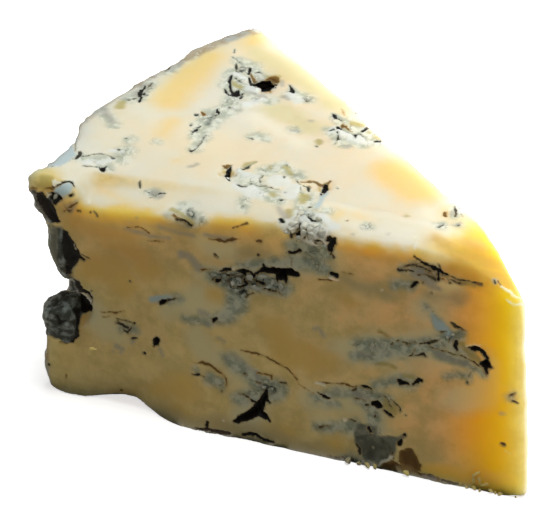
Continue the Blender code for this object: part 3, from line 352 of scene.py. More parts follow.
TOP_MARKS = {
    "hole": [
        # the far pit and its arms
        [(-30.5, 19.6), (-29.4, 20.2), (-28, 19.8), (-27, 20), (-26.9, 19.4), (-26.5, 18.6), (-27, 18.2),
         (-27.6, 17.4), (-28, 16.8), (-28.8, 16.1), (-29.6, 16.2), (-30.2, 16.3), (-30.8, 15.9),
         (-31, 16.8), (-31.2, 17.4), (-30.6, 18)],
        [(-33.1, 18.4, .2), (-32, 17.6, .25), (-31, 16.6, .35)],
        [(-36.1, 16.6), (-35.8, 15.4), (-35, 14.2), (-34, 13.1), (-33, 12.4), (-32.4, 12), (-31.8, 11.2),
         (-31.2, 10.9), (-30.6, 11.6), (-30.2, 12.4), (-30.9, 12.8), (-31.4, 13.6), (-31.8, 12.9),
         (-32.2, 12.6), (-33.2, 13.2), (-34.4, 14.2), (-35.2, 15.4)],
        [(-34.2, 12.1, .12), (-33, 11.4, .25), (-31.8, 11.1, .3)],
        [(-30.3, 13.2, .2), (-29.8, 12.2, .25), (-29.5, 11.5, .1)],
        [(-25, 21.5, .12), (-23.8, 20.6, .25), (-22.8, 19.8, .4), (-22.4, 19.4, .2)],
        [(-35.3, 21.5, .3), (-34.6, 20.6, .35), (-33.9, 19.3, .25)],
        [(-29.3, -1.2, .12), (-28.9, -2.8, .25), (-28.3, -4.6, .12)],
        [(-30.2, 5.6, .2), (-29.4, 4.8, .35), (-29.1, 4.3, .2)], [(-32.1, 1.2, .4)],
        # by the far edge
        [(-11.4, 18.1, .15), (-10.6, 17.6, .35), (-10, 17.2, .35)],
        [(-7.7, 15), (-7.2, 15.2), (-6.6, 14.9), (-6, 14.6), (-6.8, 14.3), (-7.2, 14), (-7.6, 14.4)],
        [(-3.5, 14.8), (-2.9, 14.9), (-2.6, 14.2), (-2.3, 13.5), (-2.8, 13.9), (-3.4, 14.3)],
        [(-3.1, 18.4, .25), (-3, 17.4, .3), (-3, 16.6, .25)], [(.9, 15.5, .25), (1.6, 16, .3)],
        # the leaf, the fork and the streaks towards the front
        [(-15, -8.6), (-14.4, -9.4), (-13.6, -10.8), (-12.6, -12), (-11.6, -12.8), (-11.8, -13),
         (-12.8, -12.6), (-13.9, -11.8), (-14.4, -10.8), (-15, -9.6)],
        [(-47.6, 3.6, .15), (-46.9, 2.4, .25), (-46.5, .9, .35), (-45.8, -.4, .2)],
        [(-46.4, 1, .15), (-45, -.6, .25), (-44, -2.2, .2)], [(-45.4, .8, .15), (-44.6, .6, .2)],
        [(2.8, -2.2), (3.4, -2.2), (4.2, -3.2), (4.5, -4.6), (4.8, -6.2), (4.3, -5.6), (3.8, -4.4),
         (3, -3.2)],
        [(7, -12.3, .15), (7.6, -13.1, .2), (8.6, -13.4, .3), (9.4, -13.1, .15)],
        [(15, -15, .15), (16.2, -16.6, .35), (17, -18.4, .3), (17.8, -19.6, .15)],
        [(13.8, -15.2, .15), (14.6, -16.2, .4)], [(9, -17.4, .2), (9.3, -18.6, .4)],
        [(3.9, -16.6, .3), (4.8, -17.2, .35)],
        [(-35.2, -24.3), (-34.4, -24.2), (-34, -23.2), (-33.7, -24.2), (-33.2, -25.2), (-34.2, -25),
         (-34.8, -24.6)],
        [(-34.7, -20.4, .35)],
    ],
    "crack": [
        [(-42.5, 25.2, .15), (-41.4, 23.9, .12)],
        [(-40.6, 22.6, .2), (-39.4, 22.2, .12), (-38.2, 21.7, .25), (-36.8, 21.4, .15), (-35.4, 21.6, .25)],
        [(-33.2, 20.8, .3), (-32.4, 21.4, .25)],
        [(-38.6, 21, .1), (-37.4, 19.8, .3), (-36.6, 18.9, .15), (-35.4, 18.1, .3)],
        [(-34.8, 16.3, .12), (-33, 16.1, .15), (-31.2, 15.9, .12)], [(-19.4, 19.3, .15), (-18.7, 18.9, .3)],
        [(-26.4, 13.1, .15)], [(-29, 7.5, .25), (-28.4, 7.1, .2)],
        [(-26, -3.2, .12), (-25.2, -5.2, .15), (-24.7, -6.8, .2), (-24.2, -8, .15), (-24.5, -9.2, .3)],
        [(-30.7, -2, .15), (-30.1, -2.6, .12)], [(-6.7, 7, .35)], [(-9.6, 17.4, .2), (-8.6, 17.4, .15)],
        [(-6.2, 14.5, .15), (-5, 14.4, .12), (-3.6, 14.6, .2)],
        [(-3.2, 15.3, .15), (-1.8, 15.2, .15), (-.8, 15, .12)], [(-8.2, 12.5, .12), (-7.4, 13.4, .15)],
        [(-6.4, 13.1, .1), (-5.6, 12.4, .15), (-5, 11.6, .3), (-4.8, 10.8, .15), (-4.4, 9.6, .12)],
        [(2.2, 16.6, .15), (3, 16.6, .15)], [(-.6, 17.3, .12), (.8, 17.4, .12), (1.6, 16.8, .12)],
        [(-48.9, 17, .25), (-48.9, 14.6, .3), (-48.2, 12.4, .15), (-47.9, 9.8, .2)],
        [(-47.7, -3.4, .15), (-45.2, -1.6, .15)], [(-45.6, 34.6, .3), (-44.9, 33.4, .2)],
        [(-48.6, 28.4, .15)], [(-47, 4.6, .3), (-46.6, 3.2, .3)],
        # the rind corner
        [(-45.4, -19.7, .12), (-44.2, -20.8, .2), (-43, -22, .25), (-42.2, -22.8, .15)],
        [(-41.4, -22.6, .2), (-40.4, -23.4, .25), (-40.2, -25, .3), (-40.5, -25.6, .15)],
        [(-40, -23.4, .12), (-38.8, -22.2, .2), (-37.4, -20.9, .2), (-36, -20.3, .12), (-35, -20, .12)],
        [(-35.7, -17.6, .35)], [(-37.5, -13.6, .3)],
        [(-37.6, -25.6, .12), (-36.4, -25, .15), (-35.4, -24.5, .12)], [(-41.8, -29.9, .3)],
        [(-25.5, -23.4, .12), (-24, -25, .12)],
        [(-22.4, -25.2, .15), (-20.6, -25, .25), (-20, -24, .12), (-18.8, -23.6, .12)],
        [(-20, -25.4, .2), (-20.2, -26.6, .12)], [(-26.2, -36.2, .1), (-24.8, -37, .12)],
        # the white curds towards the front
        [(-9.8, -12.8, .2), (-8.2, -12.3, .3)], [(-8.2, -7.4, .2), (-7.9, -8.6, .15), (-7.2, -9.4, .12)],
        [(-8, -11.2, .25), (-6.8, -10.6, .2), (-5.6, -9.6, .15), (-4, -9.4, .12), (-2.8, -9.5, .1)],
        [(-4.4, -12.6, .2)], [(-.4, -11.8, .35)], [(-1.1, -9.4, .2)],
        [(-2.4, -4.3, .12), (-1.6, -5, .25), (-.8, -5.6, .2)], [(-4.8, -5.2, .15), (-4.3, -5.7, .2)],
        [(-6.9, -1.7, .15), (-6.2, -2.3, .15)],
        [(0, -5.4, .12), (1, -5.3, .3), (1.8, -6, .25), (2.4, -6.3, .12)], [(5.6, -10.3, .3)],
        [(4.5, -11, .12)], [(5.6, -12.2, .12), (6.2, -13, .12)], [(.4, -6.6, .12), (1.4, -7.8, .12)],
        [(-12.2, -4.6, .1), (-12.3, -6.6, .12), (-12.8, -7.8, .3)], [(-13.2, -8.9, .15)],
        [(7.4, -15.4, .12), (8.2, -16.4, .15), (9, -17.4, .2)],
        [(9.8, -15.6, .15), (10.2, -17, .25), (10.8, -18.4, .2)],
        [(12.4, -17.4, .12), (13.4, -18, .25), (14.8, -17.8, .2)], [(12.4, -14.4, .3)],
        [(6.4, -17.8, .12), (7.6, -18.4, .15), (8.8, -19.6, .2)], [(10.8, -14, .1), (11.6, -15, .12)],
        [(5.7, -2.2, .2)],
        # towards the point
        [(27.2, 8, .2), (27.7, 7.2, .3)], [(26.4, 6.8, .15), (27.4, 5.8, .2), (28.6, 4, .25)],
        [(30.6, 2.3, .3)], [(28.5, .6, .2), (28, -.8, .2)], [(46.3, -7.4, .25), (47.4, -8.4, .25)],
        [(-19.2, 1.4, .12), (-18, 1.3, .2)],
    ],
    "brown": [
        [(-30.4, 19.8), (-30.4, 21.2), (-30, 22.2), (-29.4, 22.6), (-28.4, 22.4), (-27.6, 21.6),
         (-27, 20.2), (-28, 19.8), (-29.4, 20.2)],
        [(-33.6, 19.6, .25), (-32, 18.6, .4), (-30.8, 17.8, .4)], [(-31.8, 2.8, .4), (-31.2, 2.2, .4)],
        [(-16.6, -9.6), (-16, -8.6), (-15.2, -8), (-14.8, -8.8), (-14.8, -9.8), (-15.4, -10)],
        [(-1.2, -4.4, .2), (-.4, -3.6, .25), (.6, -2.9, .3), (1.6, -3, .3), (2.6, -3.2, .4),
         (3.2, -2.2, .4), (3, -.8, .2)],
        [(26, 4, .3), (26.8, 3, .4)],
        [(-8, 17), (-7.4, 16.6), (-6.4, 16.2), (-5.4, 15.9), (-4.4, 15.4), (-4.8, 15.2), (-5.6, 15.4),
         (-6.4, 15.6), (-7, 15.2), (-7.4, 15.6)],
        [(13.6, -9.2, .25)], [(-11, 20.6, .1), (-9.4, 19, .1)], [(.8, -4.6, .15), (1.4, -5, .2)],
    ],
    "olive": [
        [(-31, 21.4, .4), (-29, 22.6, .6)], [(-34, 14.6, .7), (-32, 14.4, .6)],
        [(-12.4, -3.9), (-12, -4.4), (-12.2, -6), (-12.4, -7.8), (-12.8, -8), (-13.2, -7.4), (-13.6, -6.4),
         (-13.2, -5.2), (-12.8, -4.4)],
        [(-1.6, 17.1, .4), (-1.4, 17, .4)], [(.2, 16.8, .4), (1, 16.6, .4)],
        [(-6.2, 17.8, .7), (-4.4, 18.4, .6)], [(-46.9, -4.2, .8), (-46, -6, .9)],
        [(2.4, -8, 1), (3.4, -9.6, .8)], [(3.4, -13.6, .8), (4.6, -14.6, .6)],
        [(-14.5, -26.6, .6), (-9, -27.4, .6)], [(-7.6, 8.8, .7), (-6.8, 8, .4)], [(21.2, -1.2, .4)],
        [(-15.6, -9.8, .4)], [(-9.4, -3.8, .2), (-9, -4.3, .2)], [(-40, -33.6, 1.2), (-38.4, -35.4, 1.4)],
        [(-36.8, -23.6, .2)], [(-6.4, -2.6, .6), (-4.6, -3.4, .4)], [(-2.6, -11.2, .6)],
    ],
    "grey": [
        [(-23.2, 17.4, .5), (-22, 17.2, .5)], [(-19.4, 19.3, .4), (-18.6, 18.9, .5)],
        [(-29.6, 14.2, .3), (-27.6, 14.2, .4), (-26.2, 14.8, .6)], [(-26.4, 13.1, .4)],
        [(-14, 8.7, .5), (-13, 8.9, .3)], [(-48.7, -7.8, .5), (-45.6, -9.4, .9), (-43.2, -10.6, .5)],
        [(-20.8, -12, .5), (-21.2, -13.4, .5)], [(-13.4, 13.7, .4)], [(-48.4, 15.4, 1), (-47.4, 13.4, .7)],
        [(-47.2, 3.4, 1.1), (-46, -.4, 1)], [(27.6, 4.6, .7)], [(30.4, 2.4, .6)],
        [(-27.2, 21.8, .3), (-26, 20.4, .4)], [(-28.2, 7.2, .6), (-26.8, 8, .4)],
        [(-25.8, -3.6, .3), (-24.6, -7.4, .3)], [(-20.6, -24.6, 1), (-19.4, -24.6, .8)], [(22, -8, .3)],
        [(-2.4, 11, .4), (-1.8, 10.9, .3)], [(46.4, -7.6, .5), (47.2, -8.2, .4)],
        [(1, -14, .4), (4, -15.4, .8)], [(17, -12, .3)],
    ],
    "bloom": [
        [(-39, 22.4, 1), (-35.6, 21.8, 1.8), (-32.6, 19.6, 1.8)],
        [(-36.6, 18, 1.6), (-34, 14.6, 2.2), (-31.4, 14.2, 1.6)], [(-22.8, 19, 1.3), (-19.2, 19.4, 1.2)],
        [(-30.6, 10.4, 1.4), (-28.6, 7, 1.8), (-29.6, 3.4, 2), (-28.2, -1.4, 2), (-25.8, -5.4, 1.2),
         (-24.6, -8.2, .9)],
        [(-28, 13.6, 1.4), (-24.6, 14.6, 1.2)],
        [(-10, 17.4, .8), (-6.2, 16.4, 1.8), (-2.4, 15.6, 2.2), (1.4, 15.6, 1.2)],
        [(-8.4, 13.2, .9), (-4.4, 12, 1.8), (-1, 13.4, 1.6)],
        [(-11.6, -10.4, 1.2), (-8, -10.6, 1.8), (-4, -12, 1.6), (0, -12, 1.2)],
        [(-9, -6, 1.4), (-7, -3.2, 1.4), (-3, -3.2, 1.2)],
        [(3, -8.4, 1.8), (5.6, -11.4, 1.6), (8, -14, 2), (12, -16, 2)],
        [(-13.4, -23.6, 1.2), (-12.4, -26.4, 2), (-8.8, -26.4, 1.6)], [(-14, -28, .9), (-9.6, -27.8, .9)],
        [(-48.2, 14, 1), (-47.4, 10, 1)], [(-47.2, 4, 1.4), (-46, 0, 1.4), (-46.8, -3, 1)],
        [(-48, -8.6, 1), (-45, -10, 1), (-42.4, -11.4, .8)],
        [(-39.6, -24.4, 1), (-36.4, -22.4, 1.4), (-34, -23.6, 1.4)],
        [(-34.6, -16.8, 1.4), (-33.4, -20, 1.2)], [(-36.6, -13.6, .8)], [(-31.6, -11, .5)],
        [(-13.6, 8.8, .6)], [(-18.6, 2, .9), (-16, 3.6, .8)], [(27.4, 7.4, 1), (28.2, 4.4, 1)],
        [(28.2, .2, .9)], [(30.6, 2.3, .7)], [(8.6, -9, .8)], [(-20.8, -24.8, 1.2)], [(-45.4, 35, .8)],
        [(-47.4, 31, .8), (-48.2, 27, .7)], [(17.6, -8.2, .6)], [(-5.6, -15.4, 1), (-4, -18.4, .8)],
    ],
    "curd": [
        [(6.4, -12.4, .6), (7.6, -12.4, .5)], [(-36.4, 20.6, .5), (-35.8, 19.6, .4)],
        [(-12, -24.8, .4), (-10, -26, .5)], [(-29.8, 4.4, .3), (-28.6, .6, .4)],
    ],
    "slate": [],
    "ash": [],
    "blue": [
        [(4.4, -3.6), (5.2, -4.6), (5.8, -6.4), (6.6, -8.2), (7, -9.8), (6, -9.6), (5.2, -7.4),
         (4.6, -5.6)],
        [(-45, -20.6), (-43.4, -22.4), (-42, -23.2), (-40.8, -24), (-40.6, -26.6), (-40.8, -28.6),
         (-41.6, -30.4), (-43.2, -31), (-43.8, -29), (-43.6, -25), (-44.4, -22)],
    ],
    "white": [
        [(4.6, -13.4, .9), (7.4, -15.4, 1.9), (10.4, -16.8, 2.2), (13, -17.4, 1.8), (14.4, -17.8, .9)],
        [(-6.6, -7.2), (-6, -5.8), (-4.6, -5.4), (-3, -5.6), (-2.2, -6.6), (-2.6, -8), (-4, -8.8),
         (-6, -8.8)],
        [(-2.4, -6.4), (-1, -6), (0, -6.2), (1, -7.6), (1.4, -9.6), (.6, -10.6), (-.8, -10.2), (-2, -8.6)],
        [(-11, -12.4), (-9, -13), (-6, -11.4), (-4, -12.2), (-3, -13.6), (-5, -14.6), (-8, -14.2),
         (-10.6, -13.6)],
        [(-12.6, -9, .7), (-10.6, -9, 1), (-9, -8.4, .8)],
        [(-7.4, 13, .8), (-5.4, 13.4, .8), (-1.4, 13.6, .9), (.4, 14.6, .5)],
        [(-35.6, 17.2, .8), (-33.4, 17.2, .5)], [(-30.2, 15.2, .5), (-28.6, 15.4, .5)],
        [(-22, 18.4, 1), (-20, 17.8, .9)], [(-27, 10.4, 1), (-26, 13.6, .6)],
        [(5.6, -13.4, .5), (6.6, -12, .5)], [(9, -11.2, .8), (13, -12.6, .9)],
        [(-38, -24.6, .5), (-35.6, -22.6, .7), (-34.4, -20.6, .3)], [(-37, -18.6, .3), (-35, -17.6, .4)],
    ],
    "pale": [
        [(-8.4, 20, .15), (-7.6, 18.4, .35)], [(27.4, -6.4, .25), (28.6, -8.4, .25)],
        [(-38.4, -33.2, .2), (-37.4, -34.2, .25)],
    ],
    "butter": [
        [(9.6, 8.6, 3.8), (17.6, 6.6, 4.2)], [(-44.4, 20, 2), (-42.8, 11, 4), (-40.6, 2.4, 3)],
        [(-34.4, -3.4, .2), (-32.6, -8.4, .4)], [(-29, -29.6, .2), (-22, -30.4, .2)],
        [(-42.6, 32.4, 1.6), (-41.4, 29.6, 1.4)], [(-17.6, 25.6, 1), (-12.6, 22, 1)], [(-27.4, 24.8, 1.2)],
        [(14.4, -6.8, .6), (15.2, -6.4, .3)], [(11, -8.6, .5)], [(17.8, -14.2, .4), (19.6, -14.8, .5)],
        [(26.2, 3.8, .5), (26.9, 2.8, .4)], [(-40.4, -33.4, 1.2), (-36.4, -36.4, 1)], [(-24.6, -13.6, .1)],
    ],
    "golden": [
        [(-42, -32.4, 1.4), (-39, -34.6, 1.6), (-38, -36.4, 1.2)], [(-.2, -21.2, .3), (.2, -22.4, .3)],
        [(34, -2, .4), (38, 0, .6)],
    ],
    "honey": [],
    "dusky": [],
    # painted shade: deeper orange where the top by the point leans away from the light
    "amber": [
        [(30, -4, .1), (34, -5, 1.2), (40, -4.4, 2.6), (46, -3, 2.4), (49, -2, 1.6)],
    ],
    # paler paste in patches; those by the front edge paint the light that the rounded edge loses
    "milky": [
        [(14, -10, 1.2), (20, -8.6, 2), (27, -5.6, 1.2)], [(-36, -24, 1), (-33, -21, 1)],
        [(-14, -27, 1.4), (-8, -25.6, .8)], [(24, 2, 1), (30, 0, 1)], [(-22, 8, 1), (-10, 6, 1)],
    ],
    # painted shade: the top is darker towards its far edge, away from the light
    "dull": [
        [(-38, 27, 2), (-24, 26, 3), (-14, 22, 2)], [(-20, 12, 3), (-12, 12, 2)],
    ],
}

KINDS = tuple(FRONT_MARKS)
DEFAULT_REACH = 1.2               # how far outside its marks each kind is still measured
REACH = {"bloom": 3.0, "butter": 6.0, "golden": 4.0, "honey": 2.5, "dusky": 3.0, "amber": 4.0, "milky": 4.0,
         "dull": 4.0}

# ---------------------------------------------------------------- arithmetic on many points at once

FAR = 99.0
TINY = 1e-9
LATTICE_SHIFT = 500               # keeps every lattice cell above zero
AXIS_PRIMES = (73856093, 19349663, 83492791)
SEED_PRIME = 7919
SEED_START = 17
STIRS = ((13, 1274126177), (15, 2246822519))      # how many bits to shift by, and what to multiply by
LAST_SHIFT = 16
WORD = 2.0 ** 32


def smooth_step(low, high, value):
    share = np.clip((value - low) / (high - low), 0, 1)
    return share * share * (3 - 2 * share)


def scatter(cell, seed):
    """A steady random number from 0 to 1 for each lattice cell."""
    mixed = np.uint32(seed * SEED_PRIME + SEED_START)
    for axis, prime in enumerate(AXIS_PRIMES):
        mixed = mixed ^ (cell[:, axis].astype(np.uint32) * np.uint32(prime))
    for bits, factor in STIRS:
        mixed = (mixed ^ (mixed >> np.uint32(bits))) * np.uint32(factor)
    return (mixed ^ (mixed >> np.uint32(LAST_SHIFT))) / WORD


def clouds(points, size, seed):
    """Soft noise from -1 to 1, with lumps about size mm across."""
    scaled = points / size + LATTICE_SHIFT
    cell = np.floor(scaled)
    part = scaled - cell
    part = part * part * (3 - 2 * part)
    total = np.zeros(len(points))
    for corner in np.ndindex(2, 2, 2):
        weight = np.prod(np.where(corner, part, 1 - part), axis=1)
        total += weight * scatter(cell + corner, seed)
    return 2 * total - 1


def rough_clouds(points, size, seed, layers=3):
    """The same with finer lumps on the broad ones, one more size for each further layer."""
    total = np.zeros(len(points))
    for layer in range(layers):
        total += clouds(points, size / 2 ** layer, seed + layer) / 2 ** layer
    return total


def grains(points, size, seed):
    """In shares of size: how far the middle of a point's grain is, and how much further the next one is."""
    scaled = points / size + LATTICE_SHIFT
    cell = np.floor(scaled)
    nearest = np.full(len(points), FAR)
    second = np.full(len(points), FAR)
    for step in np.ndindex(3, 3, 3):
        other = cell + np.array(step) - 1
        middle = other + np.stack([scatter(other, seed + i) for i in range(3)], axis=1)
        away = np.linalg.norm(scaled - middle, axis=1)
        second = np.where(away < nearest, nearest, np.minimum(second, away))
        nearest = np.minimum(nearest, away)
    return nearest, second - nearest


def to_segment(places, start, end):
    """(share of the way from start to end, distance from the segment) for each place."""
    run = end - start
    share = np.clip((places - start) @ run / max(run @ run, TINY), 0, 1)
    return share, np.linalg.norm(places - start - share[:, None] * run, axis=1)


def line_depth(places, line):
    """How deep each place lies in a line of (u, v, half width)."""
    deepest = np.full(len(places), -FAR)
    for start, end in zip(line, line[1:] if len(line) > 1 else line):
        share, away = to_segment(places, start[:2], end[:2])
        deepest = np.maximum(deepest, start[2] + share * (end[2] - start[2]) - away)
    return deepest


def outline_depth(places, corners):
    """How deep each place lies in a closed outline of (u, v)."""
    nearest = np.full(len(places), FAR)
    inside = np.zeros(len(places), bool)
    for start, end in zip(corners, np.roll(corners, -1, axis=0)):
        nearest = np.minimum(nearest, to_segment(places, start, end)[1])
        level = (start[1] > places[:, 1]) != (end[1] > places[:, 1])
        rise = end[1] - start[1] if end[1] != start[1] else TINY
        inside ^= level & (places[:, 0] < start[0] + (places[:, 1] - start[1]) * (end[0] - start[0]) / rise)
    return np.where(inside, nearest, -nearest)


def inside_marks(places, marks, reach):
    """How deep each place lies in the nearest mark, in mm: above 0 inside it, and down to -reach outside."""
    deepest = np.full(len(places), -reach)
    for mark in marks:
        mark = np.array(mark, float)
        closed = mark.shape[1] == 2
        margin = reach if closed else reach + mark[:, 2].max()
        near = (places > mark[:, :2].min(0) - margin) & (places < mark[:, :2].max(0) + margin)
        near = np.flatnonzero(near.all(axis=1))
        depth = outline_depth(places[near], mark) if closed else line_depth(places[near], mark)
        deepest[near] = np.maximum(deepest[near], depth)
    return deepest


# ---------------------------------------------------------------- places on the wedge

SEEN_TURN = (0.0, 0.12)           # how far a face turns towards LAID_FROM to be seen as front or top
FRONT_DEPTH = (16, 10)            # the front's marks end this far behind the front cut
TOP_LEVEL = (34, 38)              # and the top's marks end at this height
BACK_TURN = (0.35, 0.7)
UNDERSIDE_TURN = (0.5, 0.8)
RIND_TURN = (0.35, 0.75)
RIND_FROM_AXIS = (WHEEL_RADIUS - 12, WHEEL_RADIUS - 4)

# The borders of marks fray in small lumps, and the marks of the hidden faces also stray in broad ones.
FRAY_SIZE = 1.3
FRAY_SEEDS = (1, 4, 7)
STRAY_SIZE = 5.0
STRAY_SEEDS = (11, 14, 17)
SEEN_FRAY = 0.20
HIDDEN_FRAY = 0.35
HIDDEN_STRAY = 1.2
LEAST_SHARE = 0.01


def under_front(points):
    """How far each point lies under the leaning plane of the front cut."""
    return FRONT_LEAN * (1 - points[:, 2] / HEIGHT) - (points[:, :2] - RIND_CORNER) @ OUTWARD


def front_places(points):
    """(along, height) where the front's marks are laid."""
    straight = np.stack([(points[:, :2] - RIND_CORNER) @ ALONG, points[:, 2]], axis=1)
    return straight + under_front(points)[:, None] * FRONT_SLANT


def top_places(points):
    """(x, sideways from the axis) where the top's marks are laid."""
    drop = HEIGHT - points[:, 2]
    return points[:, :2] - (0, POINT[1]) + drop[:, None] * TOP_SLANT


def back_places(points):
    """The back cut carries the same kinds of marks as the front, upside down."""
    from_point = (POINT - points[:, :2]) @ BACK_ALONG
    return np.stack([WHEEL_RADIUS - from_point, HEIGHT - points[:, 2]], axis=1)


def underside_places(points):
    return (points[:, :2] - (0, POINT[1])) * (1, -1)


def face_shares(points, normals):
    """How much of each of the four cut faces a point belongs to, and of the rind."""
    depth = -((points[:, :2] - RIND_CORNER) @ OUTWARD)
    seen = smooth_step(*SEEN_TURN, normals @ LAID_FROM)
    from_axis = np.linalg.norm(points[:, :2] - POINT, axis=1)
    return {
        "front": seen * smooth_step(*FRONT_DEPTH, depth),
        "top": seen * smooth_step(*TOP_LEVEL, points[:, 2]),
        "back": smooth_step(*BACK_TURN, normals[:, :2] @ BACK_OUTWARD),
        "underside": smooth_step(*UNDERSIDE_TURN, -normals[:, 2]),
        "rind": smooth_step(*RIND_TURN, -normals[:, 0]) * smooth_step(*RIND_FROM_AXIS, from_axis),
    }


def all_marks(points, normals):
    """Each kind of mark over the whole wedge, as depth inside the mark in mm."""
    share = face_shares(points, normals)
    ragged = np.stack([rough_clouds(points, FRAY_SIZE, seed) for seed in FRAY_SEEDS], axis=1)
    wavy = np.stack([clouds(points, STRAY_SIZE, seed) for seed in STRAY_SEEDS], axis=1)
    frayed = points + SEEN_FRAY * ragged
    strayed = points + HIDDEN_FRAY * ragged + HIDDEN_STRAY * wavy
    faces = [
        (share["front"], front_places(frayed), FRONT_MARKS),
        (share["top"], top_places(frayed), TOP_MARKS),
        (share["back"], back_places(strayed), FRONT_MARKS),
        (share["underside"], underside_places(strayed), TOP_MARKS),
    ]
    found = {}
    for kind in KINDS:
        reach = REACH.get(kind, DEFAULT_REACH)
        deepest = np.full(len(points), -reach)
        for weight, places, marks in faces:
            on_face = weight > LEAST_SHARE
            depth = np.full(len(points), -reach)
            depth[on_face] = inside_marks(places[on_face], marks[kind], reach)
            deepest = np.maximum(deepest, (depth + reach) * weight - reach)
        found[kind] = deepest
    return found, share


# ---------------------------------------------------------------- the mesh of the wedge

VOXEL = 0.95
SEEN_SIDE = 0.02                  # faces turned this far towards LAID_FROM are made finer
# Faces this deep in a mark are made finer once more.
FINE_MARKS = {"hole": -0.3, "crack": -0.25, "brown": -0.2, "pale": -0.1, "slate": 0.0}
SMOOTH_PULLS = (0.55, -0.56)      # how far each vertex goes to the middle of its neighbours, and back
SMOOTH_ROUNDS = 2
LAY_REACH = 0.65                  # a vertex further from the solid than this stays where it is
LAY_FADE = 0.25

EDGE_AT_RIND = 45.5               # the height of the top's front edge where it meets the rind
EDGE_HIGHEST = 51.0
EDGE_CLIMB = (0, 60)              # it climbs over this stretch of the front cut
EDGE_DROP = 6.0                   # and drops this far towards the point
EDGE_DROP_RUN = (78, 100)
EDGE_SLOPE = 0.26                 # how steeply the top falls to its front edge
EDGE_ROUNDNESS = 0.25
EDGE_MOVE = 2.2                   # no vertex is moved further than this in one round
EDGE_ROUNDS = 2
EDGE_REACH = (9, 4.5)
EDGE_START = (8, 14)
EDGE_END = (86, 74)

FOOT_ROUNDING = 0.8
FOOT_DEPTH = (5, 1)
FOOT_LEVEL = (1.8, 0.2)
FOOT_START = (1, 5)
FOOT_END = (99, 96)

HOLLOW_EVERYWHERE = 0.08
HOLLOW_AT_RIND = 0.4
HOLLOW_GROWTH = 0.055             # for each mm below HOLLOW_LEVEL
HOLLOW_LEVEL = 45
HOLLOW_RUN = (30, 14)


def box_outline(left, right, low, high):
    return [(left, low), (right, low), (right, high), (left, high)]


# Hollows of the CAD solid that the marks cut again, finer: an outline of (along, height), and which way it is
# filled. The marks sink them again only a little and paint the shade of their depth black.
FILL_DEPTH = 7.0
CORNER_FILL_DEPTH = 5.0
STRAIGHT_IN = -FILL_DEPTH * np.append(OUTWARD, 0)
REFILLED = [
    (box_outline(37, 57, 35.5, 43.2), STRAIGHT_IN),
    (box_outline(40.4, 52, 2.4, 13.6), STRAIGHT_IN),
    (box_outline(87, 93.6, 25.6, 33.2), STRAIGHT_IN),
    (box_outline(7.4, 11.2, 30.5, 40.4), STRAIGHT_IN),
    (box_outline(74.8, 80.4, 0.7, 7), STRAIGHT_IN),
    ([(0.4, 49), (1, 46.7), (1.6, 45), (2.4, 43.4), (3.3, 42), (3.8, 40), (6.6, 40.6), (7.4, 44), (7, 48)],
     -CORNER_FILL_DEPTH * LAID_FROM),
]


def front_hollow(along, height):
    """How far the front cut lies under its leaning plane: more towards the rind and the foot."""
    at_rind = HOLLOW_AT_RIND + HOLLOW_GROWTH * (HOLLOW_LEVEL - height)
    return HOLLOW_EVERYWHERE + at_rind * smooth_step(*HOLLOW_RUN, along)


def fill_hollows(mesh):
    """Adds closed blocks that fill the hollows, flush with the front cut."""
    work = bmesh.new()
    work.from_mesh(mesh)
    for outline, into in REFILLED:
        rings = [[], []]
        for corner in outline:
            flush = to_front(corner) - front_hollow(*corner) * np.append(OUTWARD, 0)
            for ring, point in zip(rings, (flush, flush + into)):
                ring.append(work.verts.new(point * MM))
        front, back = rings
        work.faces.new(front)
        work.faces.new(back[::-1])
        for number in range(len(outline)):
            work.faces.new((front[number - 1], back[number - 1], back[number], front[number]))
    work.to_mesh(mesh)
    work.free()


def even_mesh(node):
    """A new object with the CAD solid's shape in small even faces."""
    piece = bpy.data.objects.new("cheese_wedge", node.data.copy())
    fill_hollows(piece.data)
    bpy.context.scene.collection.objects.link(piece)
    remesh = piece.modifiers.new("even faces", "REMESH")
    remesh.mode = "VOXEL"
    remesh.voxel_size = VOXEL * MM
    graph = bpy.context.evaluated_depsgraph_get()
    mesh = bpy.data.meshes.new_from_object(piece.evaluated_get(graph))
    piece.modifiers.clear()
    piece.data = mesh
    mesh.name = "cheese_wedge"
    return piece


def vertices_mm(mesh):
    points = np.empty(len(mesh.vertices) * 3)
    mesh.vertices.foreach_get("co", points)
    return points.reshape(-1, 3) / MM


def normals_of(mesh):
    normals = np.empty(len(mesh.vertices) * 3, np.float32)
    mesh.vertex_normals.foreach_get("vector", normals)
    return normals.reshape(-1, 3).astype(float)


def put_back(mesh, points):
    mesh.vertices.foreach_set("co", (points * MM).ravel())
    mesh.update()


def relax(mesh, rounds):
    """Evens out the steps left by the even faces, and gives back what the smoothing takes away."""
    edges = np.empty(len(mesh.edges) * 2, np.int32)
    mesh.edges.foreach_get("vertices", edges)
    first, second = edges.reshape(-1, 2).T
    points = vertices_mm(mesh)
    count = np.bincount(first, minlength=len(points)) + np.bincount(second, minlength=len(points))
    for pull in SMOOTH_PULLS * rounds:
        total = np.zeros_like(points)
        for axis in range(3):
            total[:, axis] = np.bincount(first, points[second, axis], len(points))
            total[:, axis] += np.bincount(second, points[first, axis], len(points))
        points = points + pull * (total / count[:, None] - points)
    put_back(mesh, points)


def surface_of(mesh):
    """The mesh as a tree that finds nearest points and hits of rays."""
    corners = [vertex.co for vertex in mesh.vertices]
    return BVHTree.FromPolygons(corners, [face.vertices for face in mesh.polygons])


def lay_on(mesh, node):
    """Puts every vertex back on the surface of the CAD solid, apart from those over a filled hollow."""
    solid = surface_of(node.data)
    for vertex in mesh.vertices:
        nearest, _, _, away = solid.find_nearest(vertex.co)
        vertex.co = vertex.co.lerp(nearest, min(max(LAY_REACH - away / MM, 0) / LAY_FADE, 1))
    mesh.update()


